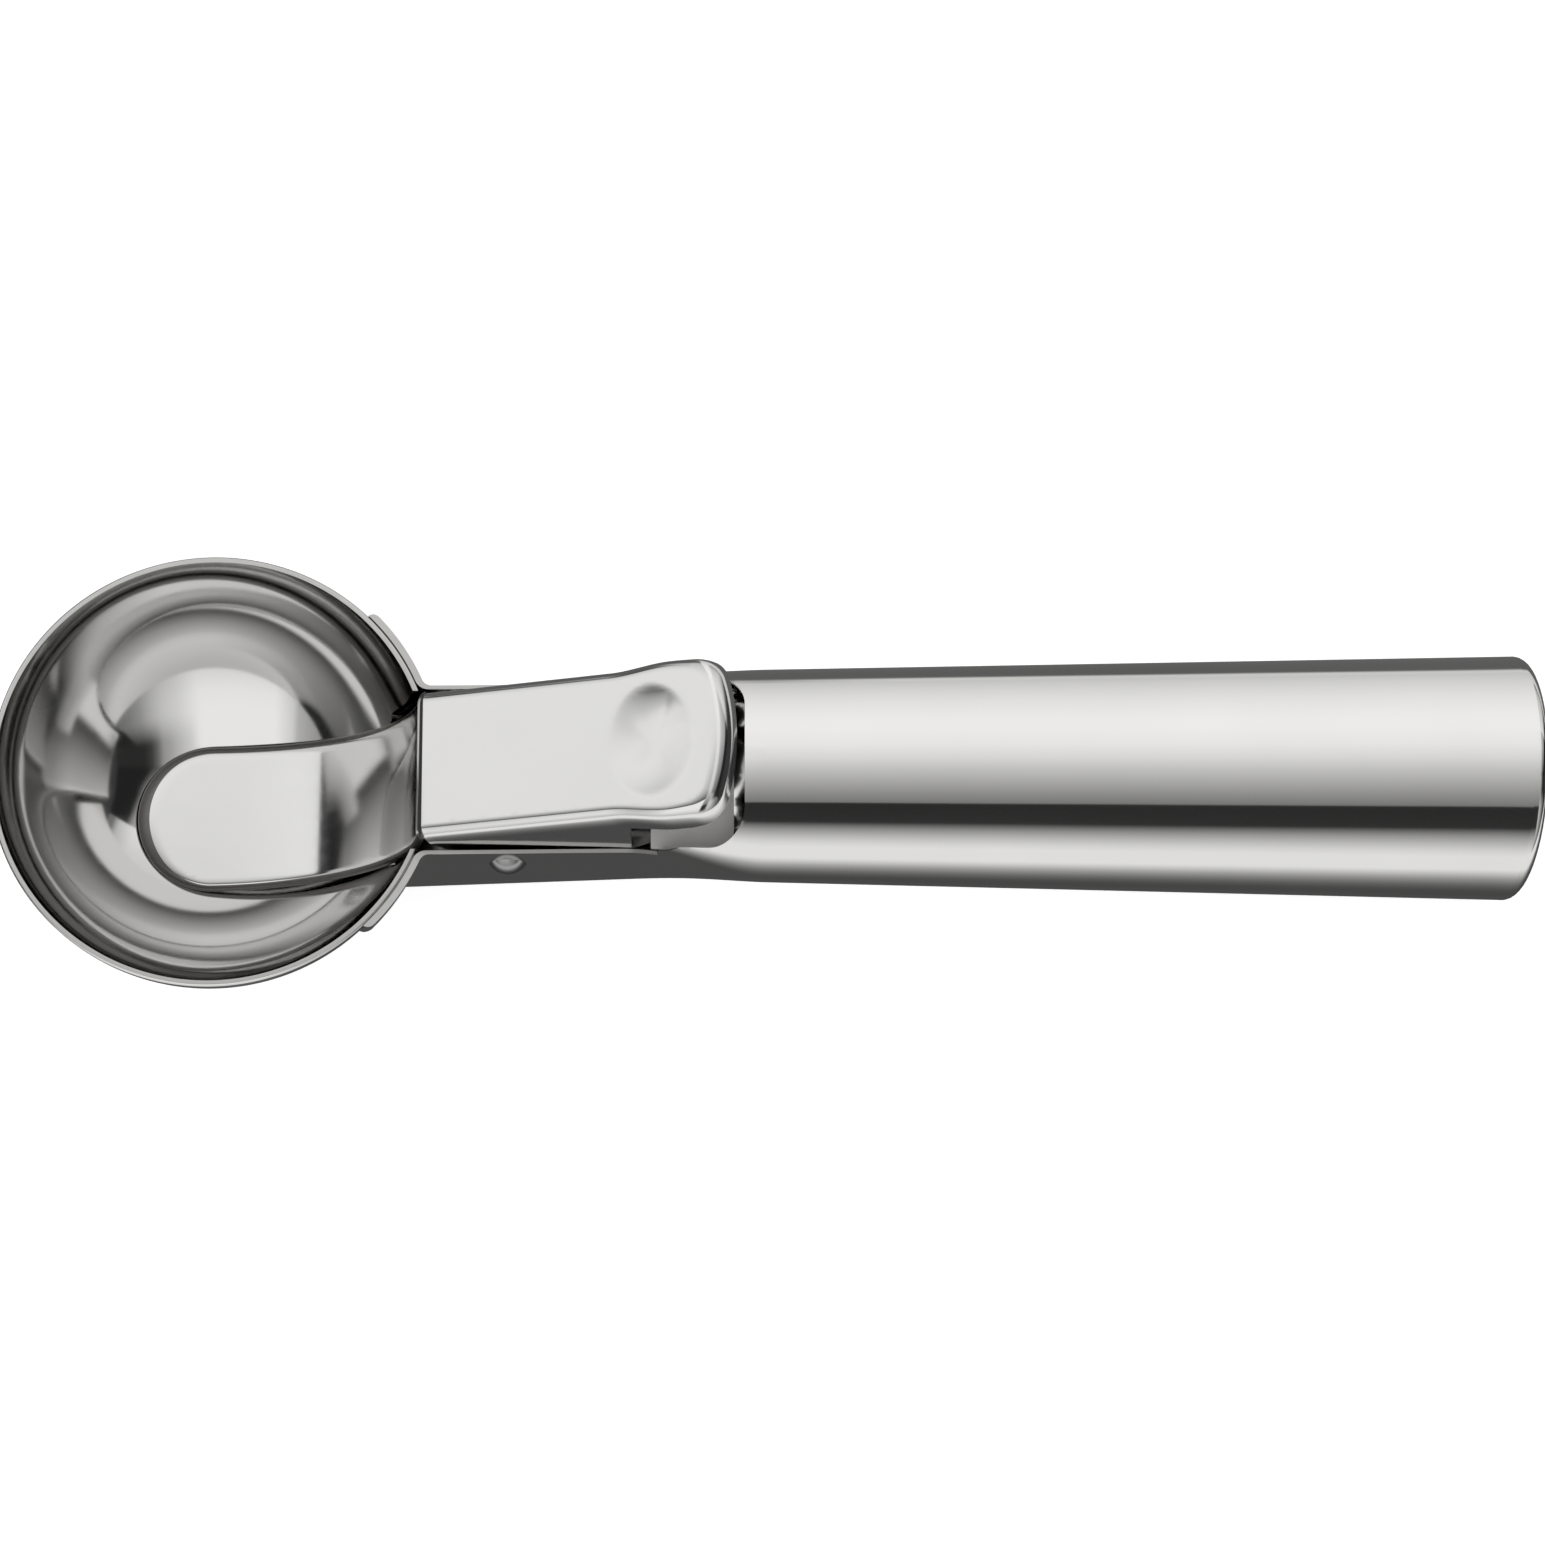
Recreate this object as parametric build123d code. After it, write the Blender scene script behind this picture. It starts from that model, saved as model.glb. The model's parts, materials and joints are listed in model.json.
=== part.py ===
from build123d import *
import math
import os

# A hand-held ice cream scoop of polished stainless steel with a thumb lever.
# Pressing the thumb pad turns the lever on a rivet in the neck and lifts a tongue out of the bowl.
# Sizes are millimetres. The pieces are modelled with the bowl's rim flat at z = 0, its centre at
# x = 0 and the handle along +X, and at the end they are tipped onto the surface they lie on.

# Bowl
RIM_RADIUS = 28.0
BOWL_DEPTH = 25.8
BOWL_WALL = 0.9
RIM_ROUNDING = 0.25
NOTCH_EASE = 0.4
NOTCH_DEPTH = 12.0
NOTCH_CORNER = 2.5

# Neck, a channel with flat walls and a rounded floor, and the two wings that hold the bowl
NECK_WIDTH = 22.0
SHELL_WALL = 0.9
NECK_DEPTH_AT_BOWL = 18.5
NECK_DEPTH_AT_TUBE = 16.5
NECK_CORNER_AT_BOWL = 3.6
NECK_CORNER_AT_TUBE = 5.2
NECK_LENGTH = 24.0
NECK_UNDER_BOWL = 15.0
WALL_TOP_RISE = 0.8
WING_REACH_DEG = 46.0
WING_HEIGHT = 12.0
WING_CORNER = 5.0
WING_BEND = 1.3
WELD_GAP = 0.05

# Handle, a tapered round tube
TRANSITION_LENGTH = 18.0
TRANSITION_SECTIONS = 7
FLAT_HALF_ANGLE_DEG = 26.0
TUBE_START_RADIUS = 13.45
TUBE_START_DROP = 3.2
TUBE_END_RADIUS = 15.45
TUBE_END_DROP = 4.4
HANDLE_LENGTH = 136.6
END_SLANT_DEG = 10.0
CAP_THICKNESS = 1.8
CAP_ROUNDING = 1.2
CAP_SPIGOT = 5.0
CAP_FIT = 0.08

# Thumb cut-out in the handle's top, measured from the rim
CUTOUT_END = 39.2
CUTOUT_WIDTH = 21.4
CUTOUT_CORNER = 4.5
CUTOUT_STEP_AT = 30.6
CUTOUT_STEP_RUN = 1.2
CUTOUT_STEP_RISE = 1.8

# Bulkhead that closes the hollow handle behind the lever, measured from the rim
BULKHEAD_FOOT = 27.5
BULKHEAD_HEAD = 40.4
BULKHEAD_SHEET = 0.9
BULKHEAD_FIT = 0.05

# Ejector lever, one stamping with the tongue
LEVER_SHEET = 1.0
LEVER_SIDE_GAP = 0.3
LEVER_RISE = 3.4
LEVER_SLOPE_DEG = 21.5
LEVER_LENGTH = 42.9
LEVER_EDGE = 1.3
LEVER_FOLD = 1.2
FOLD_INSIDE_RIM = 1.95
TONGUE_WIDTH = 18.6
TONGUE_WIDTH_AT_FOLD = 17.6
TONGUE_TIP = 9.0
TONGUE_LIFT = 2.2
TONGUE_FLOOR_AT = 2.7
TONGUE_FLOOR_RADIUS = 32.0
TONGUE_FLOOR_TURN_DEG = 28.0
TONGUE_TIP_RADIUS = 60.0
PAD_WIDTH = 21.3
PAD_LENGTH = 16.4
PAD_FULL_WIDTH_RUN = 8.4
PAD_CORNER = 4.2
PAD_END_RADIUS = 26.0
SKIRT_DEPTH = 4.4
REAR_LIP_DEPTH = 2.5
REAR_LIP_RUN = 6.4
FLANGE_END = 25.0
FLANGE_END_DROP = 1.0
EAR_RADIUS = 3.9
DIMPLE_FROM_REAR = 12.3
DIMPLE_LENGTH = 11.2
DIMPLE_WIDTH = 14.0
DIMPLE_DEPTH = 1.2

# Pivot, measured from the rim
PIN_AT = 9.25
PIN_DROP = 5.0
RIVET_RADIUS = 1.5
RIVET_HEAD_RADIUS = 2.4
RIVET_HEAD_HEIGHT = 1.3
SLEEVE_RADIUS = 2.5
SLEEVE_END_GAP = 0.05
RUNNING_FIT = 0.05

# Return spring, wound on the sleeve
SPRING_WIRE = 0.8
SPRING_SLEEVE_GAP = 0.5
SPRING_PITCH = 1.35
SPRING_TURNS = 4
SPRING_HOOK = 1.6
SPRING_SEAT_GAP = 0.1
SPRING_LEVER_LEG_DEG = 45.0
SPRING_FLOOR_LEG_DEG = -25.0

# Worked out from the sizes above
BOWL_RADIUS = (RIM_RADIUS**2 + BOWL_DEPTH**2) / (2 * BOWL_DEPTH)
BOWL_CENTRE = Vector(0, 0, BOWL_RADIUS - BOWL_DEPTH)
BOWL_INSIDE = BOWL_RADIUS - BOWL_WALL
WING_INSIDE = BOWL_RADIUS + WELD_GAP
WING_OUTSIDE = WING_INSIDE + SHELL_WALL
NECK_INSIDE = NECK_WIDTH - 2 * SHELL_WALL
LEVER_WIDTH = NECK_INSIDE - 2 * LEVER_SIDE_GAP
FOLD = Vector(RIM_RADIUS - FOLD_INSIDE_RIM, 0, LEVER_RISE)
TONGUE_FLOOR = Vector(-TONGUE_FLOOR_AT, 0, BOWL_WALL + TONGUE_LIFT + LEVER_SHEET - BOWL_DEPTH)
NECK_END = RIM_RADIUS + NECK_LENGTH
TUBE_START = NECK_END + TRANSITION_LENGTH
HANDLE_END = RIM_RADIUS + HANDLE_LENGTH
PAD_FLARE_START = LEVER_LENGTH - PAD_LENGTH
PAD_FLARE_END = LEVER_LENGTH - PAD_FULL_WIDTH_RUN
DIMPLE_AT = LEVER_LENGTH - DIMPLE_FROM_REAR
WING_ROOT = math.sqrt(WING_OUTSIDE**2 - BOWL_CENTRE.Z**2 - NECK_WIDTH**2 / 4)
WALL_RISE_START = WING_ROOT + 2 * WING_BEND
PIN = Vector(RIM_RADIUS + PIN_AT, 0, -PIN_DROP)
SPRING_RADIUS = SLEEVE_RADIUS + SPRING_SLEEVE_GAP + SPRING_WIRE / 2
ROOM = 60.0


def mix(a, b, share):
    return a + (b - a) * share


def unit(degrees):
    """Direction in the XZ plane, turned up from +X."""
    return Vector(math.cos(math.radians(degrees)), 0, math.sin(math.radians(degrees)))


def side_view(*points):
    """Face in the XZ plane from (x, z) points."""
    return make_face(Polyline(*[(x, 0, z) for x, z in points], close=True))


def across(face, width):
    """Solid from a face in the XZ plane, its width centred on the plane of symmetry."""
    return extrude(face, width / 2, dir=(0, 1, 0), both=True)


def mirrored_y(shape):
    return mirror(shape, about=Plane.XZ)


def ball(radius, centre):
    """Sphere with its seam away from the handle."""
    return Pos(centre) * Rot(0, 0, 180) * Sphere(radius)


# Handle sections

def neck_drop(x):
    """Depth of the neck's floor below the rim."""
    share = (x - RIM_RADIUS) / NECK_LENGTH
    return mix(NECK_DEPTH_AT_BOWL, NECK_DEPTH_AT_TUBE, share)


def neck_corner(x):
    share = (x - RIM_RADIUS) / NECK_LENGTH
    return mix(NECK_CORNER_AT_BOWL, NECK_CORNER_AT_TUBE, share)


def tube_share(x):
    return (x - TUBE_START) / (HANDLE_END - TUBE_START)


def tube_radius(x):
    return mix(TUBE_START_RADIUS, TUBE_END_RADIUS, tube_share(x))


def tube_drop(x):
    """Depth of the tube's axis below the rim."""
    return mix(TUBE_START_DROP, TUBE_END_DROP, tube_share(x))


def ring_from_side(side, top, bottom):
    """Whole ring of (y, z) points from the +Y side's points, given upwards."""
    far_side = [(-y, z) for y, z in reversed(side)]
    return side + [(0, top)] + far_side + [(0, bottom)]


def neck_ring(x, inset):
    half = NECK_WIDTH / 2 - inset
    floor = inset - neck_drop(x)
    crown = TUBE_START_RADIUS - TUBE_START_DROP - inset
    corner = neck_corner(x) - inset
    lean = corner * (1 - math.sqrt(0.5))
    side = [
        (half - corner, floor),
        (half - lean, floor + lean),
        (half, floor + corner),
        (half, (floor + crown) / 2),
        (half, crown - corner),
        (half - lean, crown - lean),
        (half - corner, crown),
    ]
    return ring_from_side(side, crown, floor)


def tube_ring(x, inset):
    radius = tube_radius(x) - inset
    axis = -tube_drop(x)
    flat = FLAT_HALF_ANGLE_DEG
    angles = [math.radians(a) for a in (flat - 90, -45, -flat, 0, flat, 45, 90 - flat)]
    side = [(radius * math.cos(a), axis + radius * math.sin(a)) for a in angles]
    return ring_from_side(side, axis + radius, axis - radius)


def ring_face(x, inset, share):
    """Section of the handle at x: share 0 is the neck, 1 the round tube."""
    pairs = zip(neck_ring(x, inset), tube_ring(x, inset))
    points = [Vector(x, mix(n[0], t[0], share), mix(n[1], t[1], share)) for n, t in pairs]
    edges = []
    for i in range(0, len(points), 2):
        start, middle, end = points[i], points[i + 1], points[(i + 2) % len(points)]
        bow = (middle - (start + end) * 0.5).length
        straight = bow < 1e-6
        edges.append(Line(start, end) if straight else ThreePointArc(start, middle, end))
    return make_face(edges)


def handle_core(inset, overrun):
    """Neck, transition and tube as one solid, smaller than the outside by inset all round."""
    neck_start = RIM_RADIUS - NECK_UNDER_BOWL - overrun
    neck = loft([ring_face(neck_start, inset, 0), ring_face(NECK_END, inset, 0)], ruled=True)
    rings = []
    for i in range(TRANSITION_SECTIONS):
        share = i / (TRANSITION_SECTIONS - 1)
        ease = share * share * (3 - 2 * share)
        rings.append(ring_face(mix(NECK_END, TUBE_START, share), inset, ease))
    transition = loft(rings)
    tube_stop = HANDLE_END + TUBE_END_RADIUS + overrun
    tube = loft([ring_face(TUBE_START, inset, 1), ring_face(tube_stop, inset, 1)], ruled=True)
    return neck + transition + tube


def end_slab(outer_offset, thickness):
    """Slab across the handle's slanted end, from outer_offset inside the end inwards."""
    normal = unit(-END_SLANT_DEG)
    face_point = Vector(HANDLE_END, 0, -TUBE_END_DROP) - normal * outer_offset
    plane = Plane(origin=face_point, x_dir=(0, 1, 0), z_dir=normal)
    return extrude(plane * Rectangle(ROOM, ROOM), -thickness)


# Pieces

def bowl():
    sphere_centre = (0, BOWL_CENTRE.Z)
    lip_outside = (RIM_RADIUS, 0)
    lip_inside = (math.sqrt(BOWL_INSIDE**2 - BOWL_CENTRE.Z**2), 0)
    mid = math.radians(-45)

    def on_arc(radius):
        return (radius * math.cos(mid), sphere_centre[1] + radius * math.sin(mid))

    bottom_outside = (0, BOWL_CENTRE.Z - BOWL_RADIUS)
    bottom_inside = (0, BOWL_CENTRE.Z - BOWL_INSIDE)
    outline = [
        ThreePointArc(bottom_outside, on_arc(BOWL_RADIUS), lip_outside),
        Line(lip_outside, lip_inside),
        ThreePointArc(lip_inside, on_arc(BOWL_INSIDE), bottom_inside),
        Line(bottom_inside, bottom_outside),
    ]
    shell = revolve(Plane.XZ * make_face(outline), Axis.Z)
    rim_edges = shell.edges().filter_by_position(Axis.Z, -1e-3, 1e-3)
    shell = fillet(rim_edges, RIM_ROUNDING)
    notch_width = NECK_INSIDE + 2 * NOTCH_EASE
    notch_face = Plane.YZ * Pos(0, NOTCH_CORNER) * RectangleRounded(
        notch_width, 2 * (NOTCH_DEPTH + NOTCH_CORNER), NOTCH_CORNER
    )
    notch = Pos(0, 0, -NOTCH_CORNER) * extrude(notch_face, RIM_RADIUS + ROOM)
    return shell - notch


def wings():
    """Two patches of a shell round the bowl, bent out of the front ends of the neck's walls."""
    shell = ball(WING_OUTSIDE, BOWL_CENTRE) - ball(WING_INSIDE, BOWL_CENTRE)
    reach = unit(WING_REACH_DEG) * ROOM
    sector = make_face(Polyline((0, 0), (ROOM, 0), (ROOM, reach.Z), (reach.X, reach.Z), close=True))
    sector_solid = extrude(sector, -WING_HEIGHT)
    end_edge = sector_solid.edges().filter_by_position(Axis.Z, -WING_HEIGHT - 1e-3, -WING_HEIGHT + 1e-3)
    end_edge = end_edge.sort_by_distance(Vector(reach.X / 2, reach.Z / 2, -WING_HEIGHT))[0]
    sector_solid = fillet(end_edge, WING_CORNER)
    patch = shell & sector_solid
    patch -= Pos(ROOM / 2, 0, 0) * Box(ROOM, NECK_INSIDE, 2 * ROOM)
    wall_height = WING_HEIGHT + WING_BEND
    wall = Box(WALL_RISE_START, SHELL_WALL, wall_height, align=(Align.MIN, Align.MAX, Align.MAX))
    wall = Pos(0, NECK_WIDTH / 2, 0) * wall - ball(WING_INSIDE, BOWL_CENTRE)
    wing = patch + wall
    wing = fillet(wing_bends(wing), WING_BEND)
    return wing + mirrored_y(wing)


def wing_bends(wing):
    """Edges where the neck's outer wall turns into the wing."""
    half = NECK_WIDTH / 2
    found = []
    for edge in wing.edges():
        middle = edge.position_at(0.5)
        on_wall = abs(middle.Y - half) < 1e-3
        on_wing = abs((middle - BOWL_CENTRE).length - WING_OUTSIDE) < 1e-3
        if on_wall and on_wing:
            found.append(edge)
    return found


def handle_shell(outside, inside):
    shell = outside - inside - ball(WING_INSIDE, BOWL_CENTRE)
    step = RIM_RADIUS + CUTOUT_STEP_AT
    step_top = WALL_TOP_RISE + CUTOUT_STEP_RISE
    above_walls = side_view(
        (0, 0),
        (WALL_RISE_START, 0),
        (step, WALL_TOP_RISE),
        (step + CUTOUT_STEP_RUN, step_top),
        (step + CUTOUT_STEP_RUN, ROOM),
        (0, ROOM),
    )
    shell -= across(above_walls, ROOM)
    cutout_end = RIM_RADIUS + CUTOUT_END
    cutout = RectangleRounded(2 * cutout_end, CUTOUT_WIDTH, CUTOUT_CORNER)
    shell -= Pos(0, 0, WALL_TOP_RISE) * extrude(cutout, ROOM)
    shell -= end_slab(-ROOM, ROOM + CAP_THICKNESS)
    shell += wings()
    bore = Cylinder(RIVET_RADIUS + RUNNING_FIT, 2 * NECK_WIDTH, rotation=(90, 0, 0))
    return shell - Pos(PIN) * bore


def handle_end_cap(outside):
    disc = outside & end_slab(0, CAP_THICKNESS)
    outer_face = disc.faces().sort_by(Axis(origin=(0, 0, 0), direction=unit(-END_SLANT_DEG)))[-1]
    disc = fillet(outer_face.edges(), CAP_ROUNDING)
    spigot = handle_core(SHELL_WALL + CAP_FIT, 1) - handle_core(2 * SHELL_WALL + CAP_FIT, 2)
    return disc + (spigot & end_slab(CAP_THICKNESS, CAP_SPIGOT))


def handle_bulkhead():
    foot_x = RIM_RADIUS + BULKHEAD_FOOT
    head_x = RIM_RADIUS + BULKHEAD_HEAD
    foot = Vector(foot_x, 0, -neck_drop(foot_x))
    head = Vector(head_x, 0, tube_radius(head_x) - tube_drop(head_x))
    along = (head - foot).normalized()
    normal = Vector(-along.Z, 0, along.X)
    plane = Plane(origin=(foot + head) * 0.5, x_dir=(0, 1, 0), z_dir=normal)
    sheet = extrude(plane * Rectangle(ROOM, ROOM), -BULKHEAD_SHEET)
    return sheet & handle_core(SHELL_WALL + BULKHEAD_FIT, 1)


def lever_plane():
    """Plane of the lever's top: origin on the fold above the rim, x towards the thumb pad."""
    return Plane(origin=FOLD, x_dir=unit(LEVER_SLOPE_DEG), z_dir=unit(LEVER_SLOPE_DEG + 90))


def pad_outline(inset, front):
    """Outline of lever and pad in the lever's plane, drawn in from the outside by inset."""
    half = LEVER_WIDTH / 2 - inset
    pad = PAD_WIDTH / 2 - inset
    rear = LEVER_LENGTH - inset
    corner = PAD_CORNER - inset
    flare_middle = (PAD_FLARE_START + PAD_FLARE_END) / 2
    waist = (flare_middle, (half + pad) / 2)
    start_flare = (PAD_FLARE_START, half)
    end_flare = (PAD_FLARE_END, pad)
    end_radius = PAD_END_RADIUS - inset
    end_centre = Vector(rear - end_radius, 0)
    reach = math.sqrt((end_radius - corner) ** 2 - (pad - corner) ** 2)
    corner_centre = end_centre + Vector(reach, pad - corner)
    corner_start = corner_centre + Vector(0, corner)
    corner_end = corner_centre + (corner_centre - end_centre).normalized() * corner
    side = [
        Line((front, half), start_flare),
        TangentArc(start_flare, waist, tangent=(1, 0)),
        TangentArc(end_flare, waist, tangent=(-1, 0)),
        Line(end_flare, corner_start),
        TangentArc(corner_start, corner_end, tangent=(1, 0)),
    ]
    other_side = [edge.mirror(Plane.XZ) for edge in side]
    ends = [
        ThreePointArc(corner_end, (rear, 0), (corner_end.X, -corner_end.Y)),
        Line((front, -half), (front, half)),
    ]
    return make_face(side + other_side + ends)


def dimple(extra):
    """Barrel form whose underside is the thumb dimple, grown by extra all round."""
    radius_along = (DIMPLE_LENGTH**2 / 4 + DIMPLE_DEPTH**2) / (2 * DIMPLE_DEPTH)
    radius_across = (DIMPLE_WIDTH**2 / 4 + DIMPLE_DEPTH**2) / (2 * DIMPLE_DEPTH)
    axis_height = radius_along - DIMPLE_DEPTH
    centre_height = radius_across - DIMPLE_DEPTH
    radius = radius_across + extra
    half = math.sqrt(radius**2 - (centre_height - axis_height) ** 2)
    arc = ThreePointArc((-half, axis_height), (0, centre_height - radius), (half, axis_height))
    section = Plane.YZ * make_face([arc, Line((half, axis_height), (-half, axis_height))])
    spindle = Axis(origin=(0, 0, axis_height), direction=(0, 1, 0))
    return Pos(DIMPLE_AT, 0, 0) * revolve(section, spindle)


def tongue_prism():
    """Upright prism on the tongue's outline seen from above."""
    half = TONGUE_WIDTH / 2
    half_at_fold = TONGUE_WIDTH_AT_FOLD / 2
    round_centre = half - TONGUE_TIP
    outline = make_face([
        ThreePointArc((round_centre, -half), (round_centre - half, 0), (round_centre, half)),
        Line((round_centre, half), (RIM_RADIUS, half_at_fold)),
        Line((RIM_RADIUS, half_at_fold), (RIM_RADIUS, -half_at_fold)),
        Line((RIM_RADIUS, -half_at_fold), (round_centre, -half)),
    ])
    return Pos(0, 0, -ROOM) * extrude(outline, 2 * ROOM)


def tongue_bends():
    """Arcs of the tongue's top seen from the side, tip first: centre, radius, start and end angle."""
    tip_run = TONGUE_TIP - TONGUE_FLOOR_AT + 2 * LEVER_SHEET
    tip_angle = -90 - math.degrees(math.asin(tip_run / TONGUE_TIP_RADIUS))
    turn_angle = TONGUE_FLOOR_TURN_DEG - 90
    tip_centre = TONGUE_FLOOR + unit(90) * TONGUE_TIP_RADIUS
    floor_centre = TONGUE_FLOOR + unit(90) * TONGUE_FLOOR_RADIUS
    turn = floor_centre + unit(turn_angle) * TONGUE_FLOOR_RADIUS
    inward = unit(turn_angle) * -1
    rise = FOLD - turn
    rise_radius = rise.dot(rise) / (2 * rise.dot(inward))
    rise_centre = turn + inward * rise_radius
    return [
        (tip_centre, TONGUE_TIP_RADIUS, tip_angle, -90),
        (floor_centre, TONGUE_FLOOR_RADIUS, -90, turn_angle),
        (rise_centre, rise_radius, turn_angle, angle_from(rise_centre, FOLD)),
    ]


def angle_from(centre, point):
    return math.degrees(math.atan2(point.Z - centre.Z, point.X - centre.X))


def bend_arcs(bends, depth):
    """Edges along the bends, depth below the tongue's top."""
    arcs = []
    for centre, radius, start, end in bends:
        points = [centre + unit(angle) * (radius + depth) for angle in (start, (start + end) / 2, end)]
        arcs.append(ThreePointArc(*points))
    return arcs


def tongue_profile():
    """Side view of the strip: tongue, fold and the start of the lever's plate."""
    plane = lever_plane()
    plate_end = plane.from_local_coords(Vector(3 * LEVER_FOLD, 0, 0))
    below = plane.z_dir * -LEVER_SHEET
    bends = tongue_bends()
    centre, radius, start, _ = bends[-1]
    offset = FOLD + below - centre
    along = offset.dot(plane.x_dir)
    reach = math.sqrt(along**2 - offset.dot(offset) + (radius + LEVER_SHEET) ** 2) - along
    inner_corner = FOLD + below + plane.x_dir * reach
    top = bend_arcs(bends, 0)
    under = bend_arcs(bends[:-1] + [(centre, radius, start, angle_from(centre, inner_corner))], LEVER_SHEET)
    plate = Polyline(FOLD, plate_end, plate_end + below, inner_corner)
    tip = Line(top[0] @ 0, under[0] @ 0)
    profile = make_face(top + plate.edges() + under + [tip])
    return fillet(profile.vertices().sort_by_distance(FOLD)[0], LEVER_FOLD)


def tongue():
    """Tongue that lies in the bowl, bent straight across and trimmed to its outline."""
    return across(tongue_profile(), ROOM) & tongue_prism()


def lever_cover():
    """Top plate behind the fold, side flanges and pad skirt, in the lever's own plane."""
    outside = extrude(pad_outline(0, LEVER_FOLD), -SKIRT_DEPTH)
    top_edges = outside.faces().sort_by(Axis.Z)[-1].edges()
    front_edge = top_edges.sort_by(Axis.X)[0]
    outside = fillet([e for e in top_edges if e != front_edge], LEVER_EDGE)
    inside = Pos(0, 0, -LEVER_SHEET) * extrude(pad_outline(LEVER_SHEET, -ROOM), -ROOM)
    cover = outside - inside
    bulge = dimple(LEVER_SHEET) & Pos(DIMPLE_AT, 0, -ROOM / 2 - LEVER_SHEET / 2) * Box(ROOM, ROOM, ROOM)
    cover = cover + bulge - dimple(0)
    lip_start = LEVER_LENGTH - REAR_LIP_RUN
    below_lip = side_view(
        (lip_start, -SKIRT_DEPTH),
        (LEVER_LENGTH, -REAR_LIP_DEPTH),
        (LEVER_LENGTH + ROOM, -REAR_LIP_DEPTH),
        (LEVER_LENGTH + ROOM, -ROOM),
        (lip_start, -ROOM),
    )
    return cover - across(below_lip, ROOM)


def lever_ear():
    """Flange of one side, reaching down to the pivot."""
    plane = lever_plane()
    front_top = plane.from_local_coords(Vector(LEVER_EDGE, 0, -LEVER_EDGE))
    front_low = plane.from_local_coords(Vector(LEVER_EDGE, 0, -SKIRT_DEPTH))
    rear_low = Vector(RIM_RADIUS + FLANGE_END, 0, -FLANGE_END_DROP)
    rear_top_x = plane.to_local_coords(rear_low).X
    rear_top = plane.from_local_coords(Vector(rear_top_x, 0, -LEVER_EDGE))
    corners = [(p.X, p.Z) for p in (front_top, front_low, rear_low, rear_top)]
    eye = Pos(PIN.X, PIN.Z) * Circle(EAR_RADIUS)
    lines = [Line(corners[i], corners[(i + 1) % 4]) for i in range(4)]
    flat = make_hull(lines + list(eye.edges()))
    face = Plane.XZ * flat
    ear = extrude(face, LEVER_SHEET, dir=(0, 1, 0))
    return Pos(0, LEVER_WIDTH / 2 - LEVER_SHEET, 0) * ear


def ejector_lever():
    lever = lever_plane().location * lever_cover() + tongue()
    ear = lever_ear()
    lever = lever + ear + mirrored_y(ear)
    bore = Cylinder(SLEEVE_RADIUS + RUNNING_FIT, 2 * NECK_WIDTH, rotation=(90, 0, 0))
    return lever - Pos(PIN) * bore


def pivot_rivet():
    """Shank with a domed head on the outside of each neck wall."""
    half = NECK_WIDTH / 2
    dome_top = half + RIVET_HEAD_HEIGHT
    dome_radius = (RIVET_HEAD_RADIUS**2 + RIVET_HEAD_HEIGHT**2) / (2 * RIVET_HEAD_HEIGHT)
    dome = Pos(0, 0, dome_top - dome_radius) * Sphere(dome_radius)
    head = dome & Pos(0, 0, half + ROOM / 2) * Box(ROOM, ROOM, ROOM)
    rivet = Cylinder(RIVET_RADIUS, NECK_WIDTH) + head + mirror(head, about=Plane.XY)
    return Pos(PIN) * Rot(90, 0, 0) * rivet


def pivot_sleeve():
    length = NECK_INSIDE - 2 * SLEEVE_END_GAP
    tube = Cylinder(SLEEVE_RADIUS, length) - Cylinder(RIVET_RADIUS + RUNNING_FIT, length)
    return Pos(PIN) * Rot(90, 0, 0) * tube


def biarc(start, start_dir, end, end_dir):
    """Two arcs that join smoothly from one point and direction to another."""
    chord = end - start
    total = start_dir + end_dir
    spread = 2 * (1 - start_dir.dot(end_dir))
    along = chord.dot(total)
    reach = (math.sqrt(along**2 + spread * chord.dot(chord)) - along) / spread
    joint = (start + start_dir * reach + end - end_dir * reach) * 0.5
    return [
        TangentArc(start, joint, tangent=start_dir),
        TangentArc(end, joint, tangent=end_dir * -1),
    ]


def coil_point(angle, height):
    return PIN + unit(angle) * SPRING_RADIUS + Vector(0, height, 0)


def spring_leg(coil_end, leg_dir, seat_point, seat_normal):
    """Leg from the coil, bent to meet its seat squarely. Returns coil end first."""
    bend = math.radians(leg_dir.get_angle(seat_normal))
    tangent_run = SPRING_HOOK * math.tan(bend / 2)
    depth = (seat_point - coil_end).dot(seat_normal) - SPRING_SEAT_GAP
    straight_end = tangent_run + SPRING_WIRE
    corner = coil_end + leg_dir * ((depth - straight_end) / leg_dir.dot(seat_normal))
    bend_start = corner - leg_dir * tangent_run
    bend_end = corner + seat_normal * tangent_run
    foot = corner + seat_normal * straight_end
    return [
        Line(coil_end, bend_start),
        TangentArc(bend_start, bend_end, tangent=leg_dir),
        Line(bend_end, foot),
    ]


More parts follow.
